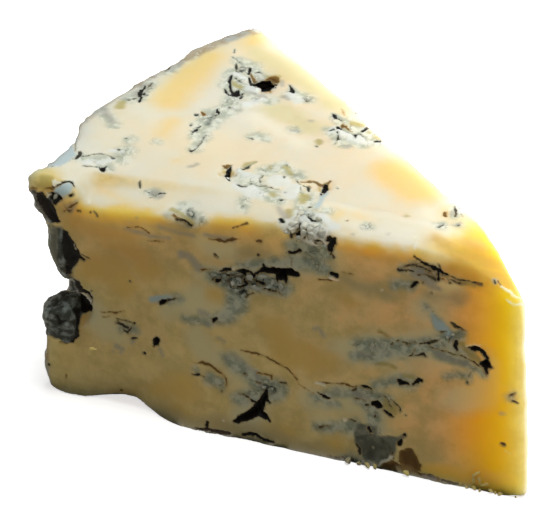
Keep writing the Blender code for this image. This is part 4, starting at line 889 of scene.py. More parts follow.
def square_foot(mesh):
    """Brings the rounded foot of the front cut out and down to the floor."""
    points = vertices_mm(mesh)
    depth = under_front(points)
    along = (points[:, :2] - RIND_CORNER) @ ALONG
    near = smooth_step(*FOOT_DEPTH, depth) * smooth_step(*FOOT_LEVEL, points[:, 2])
    near *= smooth_step(*FOOT_START, along)
    near *= smooth_step(*FOOT_END, along)
    points[:, :2] += (near * np.clip(depth, 0, FOOT_ROUNDING))[:, None] * OUTWARD
    points[:, 2] -= near * np.clip(points[:, 2], 0, FOOT_ROUNDING)
    put_back(mesh, points)


def front_edge_height(along):
    climb = (EDGE_HIGHEST - EDGE_AT_RIND) * smooth_step(*EDGE_CLIMB, along)
    return EDGE_AT_RIND + climb - EDGE_DROP * smooth_step(*EDGE_DROP_RUN, along)


def sharpen_front_edge(mesh):
    """Brings the rounding between the front cut and the top out to a crisp edge, with a slope above it."""
    points = vertices_mm(mesh)
    front_normal = np.append(OUTWARD, FRONT_LEAN / HEIGHT)
    slope_normal = np.append(EDGE_SLOPE * OUTWARD, 1) / math.hypot(1, EDGE_SLOPE)
    for _ in range(EDGE_ROUNDS):
        depth = under_front(points)
        along = (points[:, :2] - RIND_CORNER) @ ALONG
        above = points[:, 2] - front_edge_height(along)
        outside_front = -depth
        outside_slope = (above - EDGE_SLOPE * depth) / math.hypot(1, EDGE_SLOPE)
        spread = np.hypot(outside_front - outside_slope, EDGE_ROUNDNESS)
        outside = (outside_front + outside_slope + spread) / 2
        front_part = (1 + (outside_front - outside_slope) / spread) / 2
        normal = front_part[:, None] * front_normal + (1 - front_part)[:, None] * slope_normal
        near = smooth_step(*EDGE_REACH, np.hypot(depth, above))
        near *= smooth_step(*EDGE_START, along)
        near *= smooth_step(*EDGE_END, along)
        move = np.clip(outside, -EDGE_MOVE, EDGE_MOVE)
        points = points - (near * move)[:, None] * normal
    put_back(mesh, points)


def split_faces(mesh, wanted):
    """Splits each wanted face in four. wanted says yes or no for each face."""
    work = bmesh.new()
    work.from_mesh(mesh)
    work.faces.ensure_lookup_table()
    edges = {edge for face, chosen in zip(work.faces, wanted) if chosen for edge in face.edges}
    bmesh.ops.subdivide_edges(work, edges=list(edges), cuts=1, use_grid_fill=True)
    work.to_mesh(mesh)
    work.free()


def face_middles(mesh):
    middles = np.empty(len(mesh.polygons) * 3)
    mesh.polygons.foreach_get("center", middles)
    normals = np.empty(len(mesh.polygons) * 3)
    mesh.polygons.foreach_get("normal", normals)
    return middles.reshape(-1, 3) / MM, normals.reshape(-1, 3)


def refine(mesh):
    """Splits the seen faces, squares the front's edges, and splits the faces in fine marks once more."""
    _, normals = face_middles(mesh)
    split_faces(mesh, normals @ LAID_FROM > SEEN_SIDE)
    relax(mesh, SMOOTH_ROUNDS)
    sharpen_front_edge(mesh)
    square_foot(mesh)
    middles, normals = face_middles(mesh)
    marks, _ = all_marks(middles, normals)
    near_mark = np.zeros(len(middles), bool)
    for kind, depth in FINE_MARKS.items():
        near_mark |= marks[kind] > depth
    split_faces(mesh, near_mark & (normals @ LAID_FROM > SEEN_SIDE))


# ---------------------------------------------------------------- relief and masks of the wedge

# Unevenness is (strength, size, seed, layers).
TORN_BROAD = (0.13, 1.7, 91, 1)
TORN_FINE = (0.08, 0.6, 93, 1)
PASTE_WAVES = (0.20, 9.0, 51, 1)
PASTE_PITS = (0.09, 2.6, 55, 3)
BLOOM_PITS = (0.16, 1.4, 65, 3)
WHITE_LUMPS = (0.25, 1.8, 67, 3)
SLATE_LUMPS = (0.6, 3.2, 69, 3)
RIND_WAVES = (0.45, 5.0, 71, 3)
RIND_PITS = (0.22, 1.6, 75, 3)
RIND_BORDER = (0.5, 2.0, 81, 3)
RIPE_CLOUDS = (3.0, 14.0, 85, 1)

# How each soft mark fades in, as depth in the mark: from, to, and the unevenness of its border.
PLAIN, TORN = "plain", "torn"
FADES = {
    "curd": (-0.6, 0.3, PLAIN),
    "slate": (-0.3, 0.25, TORN),
    "ash": (-0.25, 0.25, TORN),
    "blue": (-0.35, 0.35, TORN),
    "olive": (-0.5, 0.3, TORN),
    "grey": (-0.5, 0.5, TORN),
    "pale": (-0.2, 0.15, TORN),
    "bloom": (-1.6, 0.8, (0.5, 2.2, 21, 3)),
    "white": (-0.6, 0.3, (0.3, 1.4, 23, 3)),
    "butter": (-3.4, 2.4, (1.2, 7.0, 82, 1)),
    "golden": (-2.6, 1.6, (1.0, 4.0, 83, 3)),
    "dull": (-2.6, 1.6, (1.0, 3.0, 87, 3)),
    "honey": (-2.0, 1.0, (0.8, 4.0, 91, 3)),
    "dusky": (-2.4, 1.2, (1.0, 4.0, 92, 3)),
    "amber": (-3.0, 1.6, (1.0, 4.0, 88, 3)),
    "milky": (-3.0, 1.6, (1.0, 3.0, 89, 3)),
}
THINNER = {"hole": 0.0, "crack": 0.07, "brown": 0.07}   # the dark marks are drawn this much thinner

# The size of the grains, and their seed.
CURD_GRAINS = (1.7, 31)
SLATE_GRAINS = (0.9, 41)
GRAIN_LEVEL = 0.6                 # a grain is level with the paste this far from its middle
CLEFT = (0.22, 0.02)
FINE_CLEFT = (0.2, 0.02)
FINE_CLEFT_SHARE = 0.5
CURD_DOME = 0.25
CLEFT_DEPTH = 0.35
SLATE_DOME = 0.2
WHITE_RISE = 0.3
PALE_RISE = 0.3

# The dark marks sink by a slope times the depth in the mark past its start, and no further past its floor.
HOLE_START = 0.02
HOLE_FLOOR = 1.1
HOLE_SLOPE = 0.5
HOLE_MORE_SLOPE = 1.5             # added away from the rind corner
HOLE_MORE_FROM = (8, 12)
CRACK_START = -0.05
CRACK_SLOPE = 0.8
CRACK_FLOOR = 0.5
BROWN_FLOOR = 1.0
LIP_HEIGHT = 0.14
LIP_AWAY = 0.35
LIP_WIDTH = 0.25
LIP_LUMPS = (1.0, 2.0, 61, 1)

CUT_TURN = (0.25, 0.8)
RIND_MARGIN = (WHEEL_RADIUS - 2.2, WHEEL_RADIUS - 0.6)
RIND_MARGIN_SHARE = 0.8
RIPE_REACH = (19, 6)              # the paste is yellower this near to the point: riper paste, with a painted glow of the light shining through the thin point
RIPE_ON_TOP = 8                   # and this much further from it on the top
RIPE_TOP_TURN = (0.6, 0.95)
RIPE_IN_DULL = 5                  # but less far where the paste is dull
RIPE_DULL_BORDER = (-3, 1.5)
RIPE_TIP = (1, 6)                 # at the very point this yellow falls to the share on the next line
RIPE_AT_TIP = 0.3
RIPE_OFF_BACK = 0.75


def uneven(points, strength, size, seed, layers):
    return strength * rough_clouds(points, size, seed, layers)


def mark_masks(points, marks):
    """(depth in each dark mark, share of each soft mark, how torn the borders are)."""
    torn = uneven(points, *TORN_BROAD) + uneven(points, *TORN_FINE)
    dark = {kind: marks[kind] + torn - thinner for kind, thinner in THINNER.items()}
    soft = {}
    for kind, (low, high, border) in FADES.items():
        depth = marks[kind]
        if border == TORN:
            depth = depth + torn
        elif border != PLAIN:
            depth = depth + uneven(points, *border)
        soft[kind] = smooth_step(low, high, depth)
    return dark, soft, torn


def sunk_marks(points, dark):
    """How far the holes, cracks and brown cracks sink the surface, less the lip around them."""
    hole, crack, brown = dark["hole"], dark["crack"], dark["brown"]
    from_corner = (points[:, :2] - RIND_CORNER) @ ALONG
    hole_slope = HOLE_SLOPE + HOLE_MORE_SLOPE * smooth_step(*HOLE_MORE_FROM, from_corner)
    sunk = hole_slope * np.clip(hole - HOLE_START, 0, HOLE_FLOOR)
    sunk += CRACK_SLOPE * np.clip(crack - CRACK_START, 0, CRACK_FLOOR)
    sunk += CRACK_SLOPE * np.clip(brown - CRACK_START, 0, BROWN_FLOOR)
    by_the_mark = np.exp(-((np.maximum(hole, crack) + LIP_AWAY) / LIP_WIDTH) ** 2)
    return sunk - LIP_HEIGHT * by_the_mark * (1 + uneven(points, *LIP_LUMPS))


def relief(points, dark, soft, rind):
    """How far each point is raised along its normal."""
    grain, border = grains(points, *CURD_GRAINS)
    fine_grain, fine_border = grains(points, *SLATE_GRAINS)
    cleft = smooth_step(*CLEFT, border) + FINE_CLEFT_SHARE * smooth_step(*FINE_CLEFT, fine_border)
    lift = uneven(points, *PASTE_WAVES) + uneven(points, *PASTE_PITS) - sunk_marks(points, dark)
    lift += soft["curd"] * (CURD_DOME * (GRAIN_LEVEL - grain) - CLEFT_DEPTH * cleft)
    lift += soft["bloom"] * uneven(points, *BLOOM_PITS)
    lift += soft["white"] * (WHITE_RISE + uneven(points, *WHITE_LUMPS)) + PALE_RISE * soft["pale"]
    lift += soft["slate"] * (uneven(points, *SLATE_LUMPS) + SLATE_DOME * (GRAIN_LEVEL - fine_grain))
    lift += rind * (uneven(points, *RIND_WAVES) + uneven(points, *RIND_PITS))
    return lift


def ripe_share(points, normals, dull_depth, back_face):
    """How yellow the paste is by the point: riper paste, with the glow of light shining through the thin
    point painted in.
    """
    from_point = np.linalg.norm(points[:, :2] - POINT, axis=1)
    away = from_point - RIPE_ON_TOP * smooth_step(*RIPE_TOP_TURN, normals[:, 2])
    away = away + RIPE_IN_DULL * smooth_step(*RIPE_DULL_BORDER, dull_depth) + uneven(points, *RIPE_CLOUDS)
    off_tip = RIPE_AT_TIP + (1 - RIPE_AT_TIP) * smooth_step(*RIPE_TIP, from_point)
    return smooth_step(*RIPE_REACH, away) * off_tip * (1 - RIPE_OFF_BACK * back_face)


def dress(mesh):
    """Moves the surface into its cracks, holes, curds and rind, and stores what the materials read."""
    points, normals = vertices_mm(mesh), normals_of(mesh)
    marks, share = all_marks(points, normals)
    dark, soft, torn = mark_masks(points, marks)
    lift = relief(points, dark, soft, share["rind"])
    put_back(mesh, points + normals * lift[:, None])

    front_face = smooth_step(*CUT_TURN, normals[:, :2] @ OUTWARD)
    back_face = smooth_step(*CUT_TURN, normals[:, :2] @ BACK_OUTWARD)
    neck = smooth_step(*NECK_REACH, np.linalg.norm(points - NECK, axis=1) + torn)
    bare_corner = smooth_step(*RIND_BARE, np.linalg.norm(points - TONGUE_END, axis=1))
    from_point = np.linalg.norm(points[:, :2] - POINT, axis=1)
    margin = RIND_MARGIN_SHARE * smooth_step(*RIND_MARGIN, from_point + uneven(points, *RIND_BORDER))
    slate = np.maximum(soft["slate"], neck)
    masks = {kind: np.clip(depth, -1, 1) for kind, depth in dark.items()}
    masks.update(soft)
    masks["slate"] = slate
    masks["cut"] = np.maximum(front_face, back_face)
    masks["ripe"] = ripe_share(points, normals, marks["dull"], back_face)
    masks["rind"] = np.maximum(share["rind"], margin) * (1 - bare_corner) * (1 - slate)
    store(mesh, masks)


def store(mesh, masks):
    for name, values in masks.items():
        layer = mesh.attributes.new(name, "FLOAT", "POINT")
        layer.data.foreach_set("value", values.astype(np.float32))


# ---------------------------------------------------------------- curds standing in the veins

# Each curd: (place on its face), length, width, brightness and turn in degrees.
CURDS_ON_FRONT = [
    (41.3, 36.0, 1.9, 1.0, 0.55, -40), (42.6, 38.1, 1.7, 0.9, 0.5, -15), (49.4, 37.9, 1.5, 1.3, 0.55, 70),
    (47.5, 38.9, 2.6, 1.4, 0.3, 15), (46.0, 35.9, 2.8, 1.3, 0.35, 5), (43.5, 33.6, 1.5, 1.1, 0.25, 60),
    (39.4, 37.3, 2.4, 1.1, 0.12, 5), (37.5, 36.9, 1.7, 0.9, 0.25, 20), (44.7, 37.9, 1.3, 1.3, 0.3, 0),
    (48.8, 36.8, 1.8, 1.0, 0.15, 30), (42.0, 34.5, 2.2, 1.1, 0.3, 50), (51.1, 37.3, 1.5, 1.8, 0.35, 0),
    (40.5, 34.7, 1.4, 1.0, 0.25, 0), (44.2, 35.6, 1.3, 0.9, 0.2, 30), (83.7, 33.4, 1.3, 0.7, 0.6, 80),
    (84.7, 34.2, 1.2, 0.8, 0.6, 30), (47.6, 13.5, 1.2, 0.8, 0.4, 0), (49.4, 13.4, 1.4, 0.8, 0.4, 10),
    (5.4, 47.6, 1.4, 0.9, 0.5, 60), (53.3, 51.4, 2.2, 1.6, 0.8, 20), (52.2, 49.6, 1.6, 1.3, 0.8, 60),
    (55.3, 50.0, 1.3, 2.0, 0.8, 80), (56.7, 49.8, 2.6, 1.6, 0.75, 60), (58.7, 50.4, 2.2, 2.0, 0.6, 30),
    (57.2, 51.9, 2.2, 1.4, 0.85, 10), (54.4, 48.7, 1.8, 0.9, 0.6, 15),
]
CURDS_ON_TOP = [
    (5.4, -12.9, 2.0, 1.5, 0.8, 30), (6.3, -15.2, 2.6, 1.7, 0.9, 60), (8.3, -15.3, 2.4, 1.4, 0.9, 50),
    (10.2, -15.9, 2.4, 1.4, 0.85, 70), (12.4, -16.0, 2.0, 1.3, 0.8, 20), (9.2, -12.3, 2.0, 1.1, 0.7, 10),
    (7.0, -17.6, 2.0, 1.4, 0.8, 50), (-36.2, 20.2, 1.8, 1.2, 0.6, 40), (-11.0, -25.6, 1.6, 1.2, 0.5, 0),
    (-29.4, 3.6, 1.4, 1.0, 0.5, 0),
]
CURD_SEED = 12
CURD_THICKNESS = 0.6              # as a share of its shorter side
CURD_SUNK = 0.42                  # share of its thickness that a curd is sunk by
CURD_START = 0.02                 # each curd is dropped onto the surface from this far off, in metres
CURD_ROUGHNESS = 0.16

LUMP_SPREAD = 99                  # the clouds of each lump are taken from this wide a range
LUMP_SCALE = 2
LUMP_CLOUDS = (1.1, 5)            # the size and the seed of a lump's clouds
LUMP_CUTS = 11
CUT_AT = (0.45, 0.85)             # how far from its middle a lump is cut
CUT_FLATNESS = 0.9


def to_front(place_on_front):
    """The point on the leaning front plane at (along, height)."""
    along, height = place_on_front
    flat = RIND_CORNER + along * ALONG + FRONT_LEAN * (1 - height / HEIGHT) * OUTWARD
    return np.append(flat, height)


def to_top(place_on_top):
    return np.array((place_on_top[0], place_on_top[1] + POINT[1], HEIGHT))


def broken_lump(ball, rng, roughness):
    """A ball with its sides cut flat at random, so that it looks broken off."""
    shift = rng.uniform(0, LUMP_SPREAD, 3)
    shape = ball * (1 + roughness * clouds(ball * LUMP_SCALE + shift, *LUMP_CLOUDS)[:, None])
    for direction in rng.normal(size=(LUMP_CUTS, 3)):
        direction /= np.linalg.norm(direction)
        beyond = shape @ direction - rng.uniform(*CUT_AT)
        shape = shape - np.clip(beyond, 0, None)[:, None] * direction * CUT_FLATNESS
    return shape


def unit_ball():
    work = bmesh.new()
    bmesh.ops.create_icosphere(work, subdivisions=3, radius=1)
    points = np.array([vertex.co for vertex in work.verts])
    faces = np.array([[vertex.index for vertex in face.verts] for face in work.faces])
    work.free()
    return points, faces


def one_piece(name, shapes, faces, masks):
    """One object of many lumps. masks holds, for each attribute name, an array for each lump."""
    mesh = bpy.data.meshes.new(name)
    all_faces = np.concatenate([faces + number * len(shapes[0]) for number in range(len(shapes))])
    mesh.from_pydata((np.concatenate(shapes) * MM).tolist(), [], all_faces.tolist())
    store(mesh, {title: np.concatenate(values) for title, values in masks.items()})
    piece = bpy.data.objects.new(name, mesh)
    bpy.context.scene.collection.objects.link(piece)
    mesh.shade_smooth()
    return piece


def curd_lumps(mesh):
    """All the curds as one piece, set into the dressed surface."""
    rng = np.random.default_rng(CURD_SEED)
    surface = surface_of(mesh)
    ball, faces = unit_ball()
    laid_from = Vector(LAID_FROM)
    shapes, bright, raised = [], [], []
    for curds, on_face in ((CURDS_ON_FRONT, to_front), (CURDS_ON_TOP, to_top)):
        for first, second, length, width, brightness, degrees in curds:
            start = Vector(on_face((first, second)) * MM) + laid_from * CURD_START
            hit, normal, _, _ = surface.ray_cast(start, -laid_from)
            if hit is None:
                continue
            thick = CURD_THICKNESS * min(length, width)
            level = Vector(np.append(ALONG, 0))
            side = normal.cross(level).normalized()
            frame_of_curd = Matrix((side.cross(normal), side, normal)).transposed()
            turn = frame_of_curd @ Matrix.Rotation(math.radians(degrees), 3, "Z")
            shape = broken_lump(ball, rng, CURD_ROUGHNESS) * (length / 2, width / 2, thick / 2)
            raised.append(shape[:, 2] / thick + 0.5)
            shape[:, 2] += thick * (0.5 - CURD_SUNK)
            shapes.append(shape @ np.array(turn).T + np.array(hit) / MM)
            bright.append(np.full(len(ball), brightness))
    return one_piece("mould_curds", shapes, faces, {"bright": bright, "raised": raised})


# Loose bits at the foot of the front cut: (along, how far in front of it, size, brightness).
CRUMBS = [
    (83.6, -0.2, 1.2, 0.5), (84.8, -0.2, 0.8, 0.3), (87.8, -0.2, 1.7, 0.8), (88.9, 0.2, 1.0, 0.9),
    (90.5, -0.1, 1.9, 1.0), (91.6, 0.3, 1.1, 0.9), (93.6, -0.2, 1.8, 1.0), (94.6, 0.0, 1.1, 1.0),
    (95.6, -0.1, 1.4, 0.8), (98.6, -0.2, 0.8, 0.5), (62.4, -0.2, 1.0, 0.2), (65.1, 0.2, 2.4, 0.1),
    (67.3, 0.0, 1.6, 0.25), (69.0, 0.3, 2.0, 0.4), (70.6, 0.1, 1.5, 0.5), (76.8, 0.2, 2.3, 1.0),
    (59.5, -0.2, 0.8, 0.1), (30.6, -0.2, 1.0, 0.5),
]
CRUMB_SEED = 21
CRUMB_ROUGHNESS = 0.4
CRUMB_SIDES = (0.6, 0.4, 0.42)    # its half length, half width and half height, as shares of its size
CRUMB_SCALE = 0.75
# A curl of paste that sticks to the front cut: (along, height, length, width, brightness, turn in degrees).
CURLS = [
    (90.6, 3.7, 2.6, 1.0, 1.0, 48), (90.2, 2.2, 1.8, 0.8, 1.0, 75), (91.4, 2.4, 2.0, 0.8, 0.9, -75),
    (92.4, 1.6, 1.6, 0.7, 1.0, 20), (11.9, 14.0, 2.0, 0.8, 0.9, 10),
]


def foot_crumbs():
    """The loose crumbs and the curls, as one piece."""
    rng = np.random.default_rng(CRUMB_SEED)
    ball, faces = unit_ball()
    shapes, bright = [], []
    for along, out, full_size, brightness in CRUMBS:
        sides = CRUMB_SCALE * full_size * np.array(CRUMB_SIDES)
        turn = np.array(Matrix.Rotation(rng.uniform(0, math.pi), 3, "Z"))
        shape = broken_lump(ball, rng, CRUMB_ROUGHNESS) * sides @ turn.T
        centre = to_front((along, 0)) + out * np.append(OUTWARD, 0)
        shape[:, 2] -= shape[:, 2].min()
        shapes.append(shape + centre)
        bright.append(np.full(len(ball), brightness))
    for along, height, length, width, brightness, degrees in CURLS:
        turn = np.array(Matrix.Rotation(math.radians(-degrees), 3, "Y"))
        shape = broken_lump(ball, rng, CRUMB_ROUGHNESS) * (length / 2, width / 2, width / 2) @ turn.T
        on_front = np.stack([np.append(ALONG, 0), -np.append(OUTWARD, 0), (0, 0, 1)])
        shapes.append(shape @ on_front + to_front((along, height)))
        bright.append(np.full(len(ball), brightness))
    return one_piece("foot_crumbs", shapes, faces, {"bright": bright})


# ---------------------------------------------------------------- node helpers

# Where the sockets of a Mix node that takes colours, and of one that takes numbers, stand in its lists.
COLOUR_FIRST, COLOUR_SECOND, COLOUR_RESULT = 6, 7, 2
NUMBER_FIRST, NUMBER_SECOND, NUMBER_RESULT = 2, 3, 0
USUAL_DETAIL = 4.0
USUAL_ROUGHNESS = 0.55
FLAKE_BEND = 0.8                  # the size of the bends, as a share of the size of the flakes
FLAKE_LINE = (0.0, 0.12, 1.0, 0.0)  # 1 on the border of a flake and 0 from 0.12 of its size inwards


def place(tree, kind, label, **settings):
    made = tree.nodes.new(kind)
    made.label = label
    for name, value in settings.items():
        setattr(made, name, value)
    return made


def feed(tree, socket, source):
    """Gives a socket a link, or a plain value."""
    if isinstance(source, bpy.types.NodeSocket):
        tree.links.new(source, socket)
    elif isinstance(source, tuple) and len(source) == 3 and socket.type == "RGBA":
        socket.default_value = (*source, 1)
    else:
        socket.default_value = source


def mask_of(tree, name):
    return place(tree, "ShaderNodeAttribute", name, attribute_name=name).outputs["Fac"]


def reckon(tree, label, operation, first, second):
    """One step of arithmetic on two numbers."""
    math_node = place(tree, "ShaderNodeMath", label, operation=operation)
    feed(tree, math_node.inputs[0], first)
    feed(tree, math_node.inputs[1], second)
    return math_node.outputs["Value"]


def blend_colours(tree, label, share, first, second):
    """From the first colour to the second, by a share from 0 to 1."""
    mix = place(tree, "ShaderNodeMix", label, data_type="RGBA")
    feed(tree, mix.inputs["Factor"], share)
    feed(tree, mix.inputs[COLOUR_FIRST], first)
    feed(tree, mix.inputs[COLOUR_SECOND], second)
    return mix.outputs[COLOUR_RESULT]


def between(tree, label, value, low, high, to_low=0.0, to_high=1.0):
    """A soft step: to_low where the value is low, and to_high where it is high."""
    span = place(tree, "ShaderNodeMapRange", label, interpolation_type="SMOOTHSTEP")
    feed(tree, span.inputs["Value"], value)
    for name, number in (("From Min", low), ("From Max", high), ("To Min", to_low), ("To Max", to_high)):
        feed(tree, span.inputs[name], number)
    return span.outputs["Result"]


def cloud_node(tree, label, size, detail=USUAL_DETAIL, roughness=USUAL_ROUGHNESS):
    """Noise whose lumps are about size mm across."""
    where = place(tree, "ShaderNodeTexCoord", "own coordinates")
    noise = place(tree, "ShaderNodeTexNoise", label)
    feed(tree, noise.inputs["Vector"], where.outputs["Object"])
    feed(tree, noise.inputs["Scale"], 1 / (size * MM))
    feed(tree, noise.inputs["Detail"], detail)
    feed(tree, noise.inputs["Roughness"], roughness)
    return noise.outputs["Fac"]


def patches(tree, label, size, low, high, **settings):
    """A mask of soft patches about size mm across: 0 where the noise is low and 1 where it is high."""
    return between(tree, label, cloud_node(tree, label + " noise", size, **settings), low, high)


def flake_nodes(tree, label, size):
    """(random shade of each flake, line between flakes), for bent flakes about size mm across."""
    where = place(tree, "ShaderNodeTexCoord", "own coordinates")
    bend = place(tree, "ShaderNodeTexNoise", label + " bend")
    feed(tree, bend.inputs["Vector"], where.outputs["Object"])
    feed(tree, bend.inputs["Scale"], 1 / (FLAKE_BEND * size * MM))
    bent = place(tree, "ShaderNodeVectorMath", label + " bent", operation="MULTIPLY_ADD")
    feed(tree, bent.inputs[0], bend.outputs["Color"])
    feed(tree, bent.inputs[1], (size * MM,) * 3)
    feed(tree, bent.inputs[2], where.outputs["Object"])
    shades = place(tree, "ShaderNodeTexVoronoi", label + " shades")
    edges = place(tree, "ShaderNodeTexVoronoi", label + " edges", feature="DISTANCE_TO_EDGE")
    for cells in (shades, edges):
        feed(tree, cells.inputs["Vector"], bent.outputs["Vector"])
        feed(tree, cells.inputs["Scale"], 1 / (size * MM))
    split = place(tree, "ShaderNodeSeparateColor", label + " one number")
    feed(tree, split.inputs["Color"], shades.outputs["Color"])
    lines = between(tree, label + " lines", edges.outputs["Distance"], *FLAKE_LINE)
    return split.outputs["Red"], lines


def new_group(name, takes, gives):
    """An empty shader node group, with the sockets that bring values in and those that give them out."""
    tree = bpy.data.node_groups.new(name, "ShaderNodeTree")
    for title, kind in takes.items():
        tree.interface.new_socket(title, in_out="INPUT", socket_type=kind)
    for title, kind in gives.items():
        tree.interface.new_socket(title, in_out="OUTPUT", socket_type=kind)
    return tree, place(tree, "NodeGroupInput", "in").outputs, place(tree, "NodeGroupOutput", "out").inputs


def use_group(tree, group, label, **values):
    """Places a group with its own values. An underscore in a value's name stands for a space."""
    made = place(tree, "ShaderNodeGroup", label, node_tree=group)
    for name, value in values.items():
        feed(tree, made.inputs[name.replace("_", " ")], value)
    return made.outputs


FLOAT, COLOUR = "NodeSocketFloat", "NodeSocketColor"

# ---------------------------------------------------------------- the shared effects

RIM_DEPTH = (-0.46, 0.0)
MIDDLE_DEPTH = (-0.12, 0.06)
# Size and strength.
BROAD_TEARS = (1.0, 0.5)
FINE_TEARS = (0.45, 0.4)
NOISE_MIDDLE = 0.5


def tears(tree, label, size, strength):
    off_middle = reckon(tree, label, "SUBTRACT", cloud_node(tree, label + " noise", size), NOISE_MIDDLE)
    return reckon(tree, label + " strength", "MULTIPLY", off_middle, strength)


def torn_mark_group():
    """Draws a mark over a colour from the depth inside it: a soft rim, then a middle with a torn edge."""
    tree, given, out = new_group(
        "torn mark",
        {"Color": COLOUR, "Depth": FLOAT, "Rim": COLOUR, "Middle": COLOUR, "Rim Share": FLOAT},
        {"Color": COLOUR})
    broad = tears(tree, "broad tears", *BROAD_TEARS)
    fine = tears(tree, "fine tears", *FINE_TEARS)
    depth = reckon(tree, "torn depth", "ADD", given["Depth"], reckon(tree, "tears", "ADD", broad, fine))
    rim = between(tree, "rim", depth, *RIM_DEPTH)
    rim = reckon(tree, "rim share", "MULTIPLY", rim, given["Rim Share"])
    rimmed = blend_colours(tree, "rimmed", rim, given["Color"], given["Rim"])
    middle = between(tree, "middle", depth, *MIDDLE_DEPTH)
    feed(tree, out["Color"], blend_colours(tree, "middle colour", middle, rimmed, given["Middle"]))
    return tree


CREAM = (0.80, 0.75, 0.60)
WARM_CREAM = (0.84, 0.72, 0.50)
# Painted shade in part: the cut faces take a yellower, deeper copy of the paste, which carries the warm shade
# of the front cut.
CUT_PASTE = (0.84, 0.65, 0.285)
CUT_PASTE_DEEP = (0.66, 0.51, 0.205)
BUTTER = (0.90, 0.64, 0.24)
# Deeper ochre, which in places paints the light under the top edge and the shade at the foot.
GOLDEN = (0.75, 0.51, 0.15)
# Greyer, duller paste; in places painted shade.
DULL = (0.74, 0.66, 0.38)
# Riper yellow of the point, which also paints the glow of light shining through it.
RIPE = (0.95, 0.60, 0.012)
# Painted glow of light shining through the paste.
HONEY = (0.93, 0.58, 0.09)
# Painted shade.
DUSKY = (0.52, 0.42, 0.21)
# Painted shade by the point.
AMBER = (0.60, 0.36, 0.05)
# Paler paste, which by the front edge paints light.
MILKY = (0.90, 0.83, 0.66)
# The tints are laid one over the other in this order, each with its colour and the most that it covers.
PASTE_TINTS = {
    "Butter": (BUTTER, 0.9),
    "Dull": (DULL, 0.9),
    "Ripe": (RIPE, 1.0),
    "Golden": (GOLDEN, 0.85),
    "Dusky": (DUSKY, 0.8),
    "Honey": (HONEY, 0.9),
    "Milky": (MILKY, 0.8),
    "Amber": (AMBER, 0.9),
}
PASTE_MASKS = ("Cut", *PASTE_TINTS)
# Patches are (size, low, high).
BROAD_CLOUDS = (16, 0.35, 0.65)
BROAD_DETAIL = 3
SMALL_CLOUDS = (5, 0.34, 0.66)
SMALL_DETAIL = 6
SMALL_ROUGHNESS = 0.65


def paste_group():
    """Cream paste, yellower on the cuts and towards the point."""
    tree, given, out = new_group("paste mottling", dict.fromkeys(PASTE_MASKS, FLOAT), {"Color": COLOUR})
    broad = patches(tree, "broad clouds", *BROAD_CLOUDS, detail=BROAD_DETAIL)
    small = patches(tree, "small clouds", *SMALL_CLOUDS, detail=SMALL_DETAIL, roughness=SMALL_ROUGHNESS)
    cream = blend_colours(tree, "cream", broad, CREAM, WARM_CREAM)
    cut = blend_colours(tree, "cut", small, CUT_PASTE, CUT_PASTE_DEEP)
    # painted shade in part: the cut faces take the yellower, deeper paste
    colour = blend_colours(tree, "cream to cut", given["Cut"], cream, cut)
    for name, (tint, most) in PASTE_TINTS.items():
        share = reckon(tree, name + " share", "MULTIPLY", given[name], most)
        colour = blend_colours(tree, name, share, colour, tint)
    feed(tree, out["Color"], colour)
    return tree


BLOOM_PALE = (0.74, 0.75, 0.63)
BLOOM_GREEN = (0.44, 0.48, 0.38)
# Painted shade: the bloom of the cut faces is a darker copy of the bloom on the top.
CUT_BLOOM_PALE = (0.52, 0.55, 0.44)
CUT_BLOOM_GREEN = (0.25, 0.30, 0.25)
BLOOM_LINE = (0.13, 0.14, 0.10)
CURD_BED = (0.10, 0.125, 0.10)
CURD_BED_PALE = (0.42, 0.45, 0.37)
CLEFT_DARK = (0.03, 0.035, 0.028)
BLOOM_PATCHES = (1.8, 0.4, 0.6)
LINE_SIZE = 3.2
LINE_DETAIL = 3
THIN_LINES = (0.004, 0.026, 1.0, 0.0)   # 1 where the noise crosses its middle
LINE_PLACES = (4, 0.44, 0.58)
LINES_MOST = 0.75
BLOOM_MOST = 0.85
BED_FLAKE_SIZE = 1.3


def mould_group():
    """Blue-green bloom with thin dark lines, and the greyer flaky bed of the curds."""
    tree, given, out = new_group(
        "mould bloom",
        {"Paste": COLOUR, "Bloom": FLOAT, "Curd": FLOAT, "Cut": FLOAT},
        {"Color": COLOUR})
    green_patches = patches(tree, "green patches", *BLOOM_PATCHES)
    ridge = cloud_node(tree, "line noise", LINE_SIZE, detail=LINE_DETAIL)
    ridge = reckon(tree, "ridge", "SUBTRACT", ridge, NOISE_MIDDLE)
    ridge = reckon(tree, "ridge height", "ABSOLUTE", ridge, 0.0)
    lines = between(tree, "thin lines", ridge, *THIN_LINES)
    some = patches(tree, "where lines show", *LINE_PLACES)
    some = reckon(tree, "most of the lines", "MULTIPLY", some, LINES_MOST)
    lines = reckon(tree, "lines here and there", "MULTIPLY", lines, some)
    shade, flake_lines = flake_nodes(tree, "flakes", BED_FLAKE_SIZE)
    # painted shade: the cut faces take the darker bloom
    pale = blend_colours(tree, "pale bloom", given["Cut"], BLOOM_PALE, CUT_BLOOM_PALE)
    green = blend_colours(tree, "green bloom", given["Cut"], BLOOM_GREEN, CUT_BLOOM_GREEN)
    bloom = blend_colours(tree, "bloom", green_patches, pale, green)
    bloom = blend_colours(tree, "bloom lines", lines, bloom, BLOOM_LINE)
    curd = blend_colours(tree, "curd", shade, CURD_BED, CURD_BED_PALE)
    curd = blend_colours(tree, "curd lines", flake_lines, curd, CLEFT_DARK)
    share = reckon(tree, "bloom share", "MULTIPLY", given["Bloom"], BLOOM_MOST)
    bloomed = blend_colours(tree, "bloomed", share, given["Paste"], bloom)
    feed(tree, out["Color"], blend_colours(tree, "curdled", given["Curd"], bloomed, curd))
    return tree


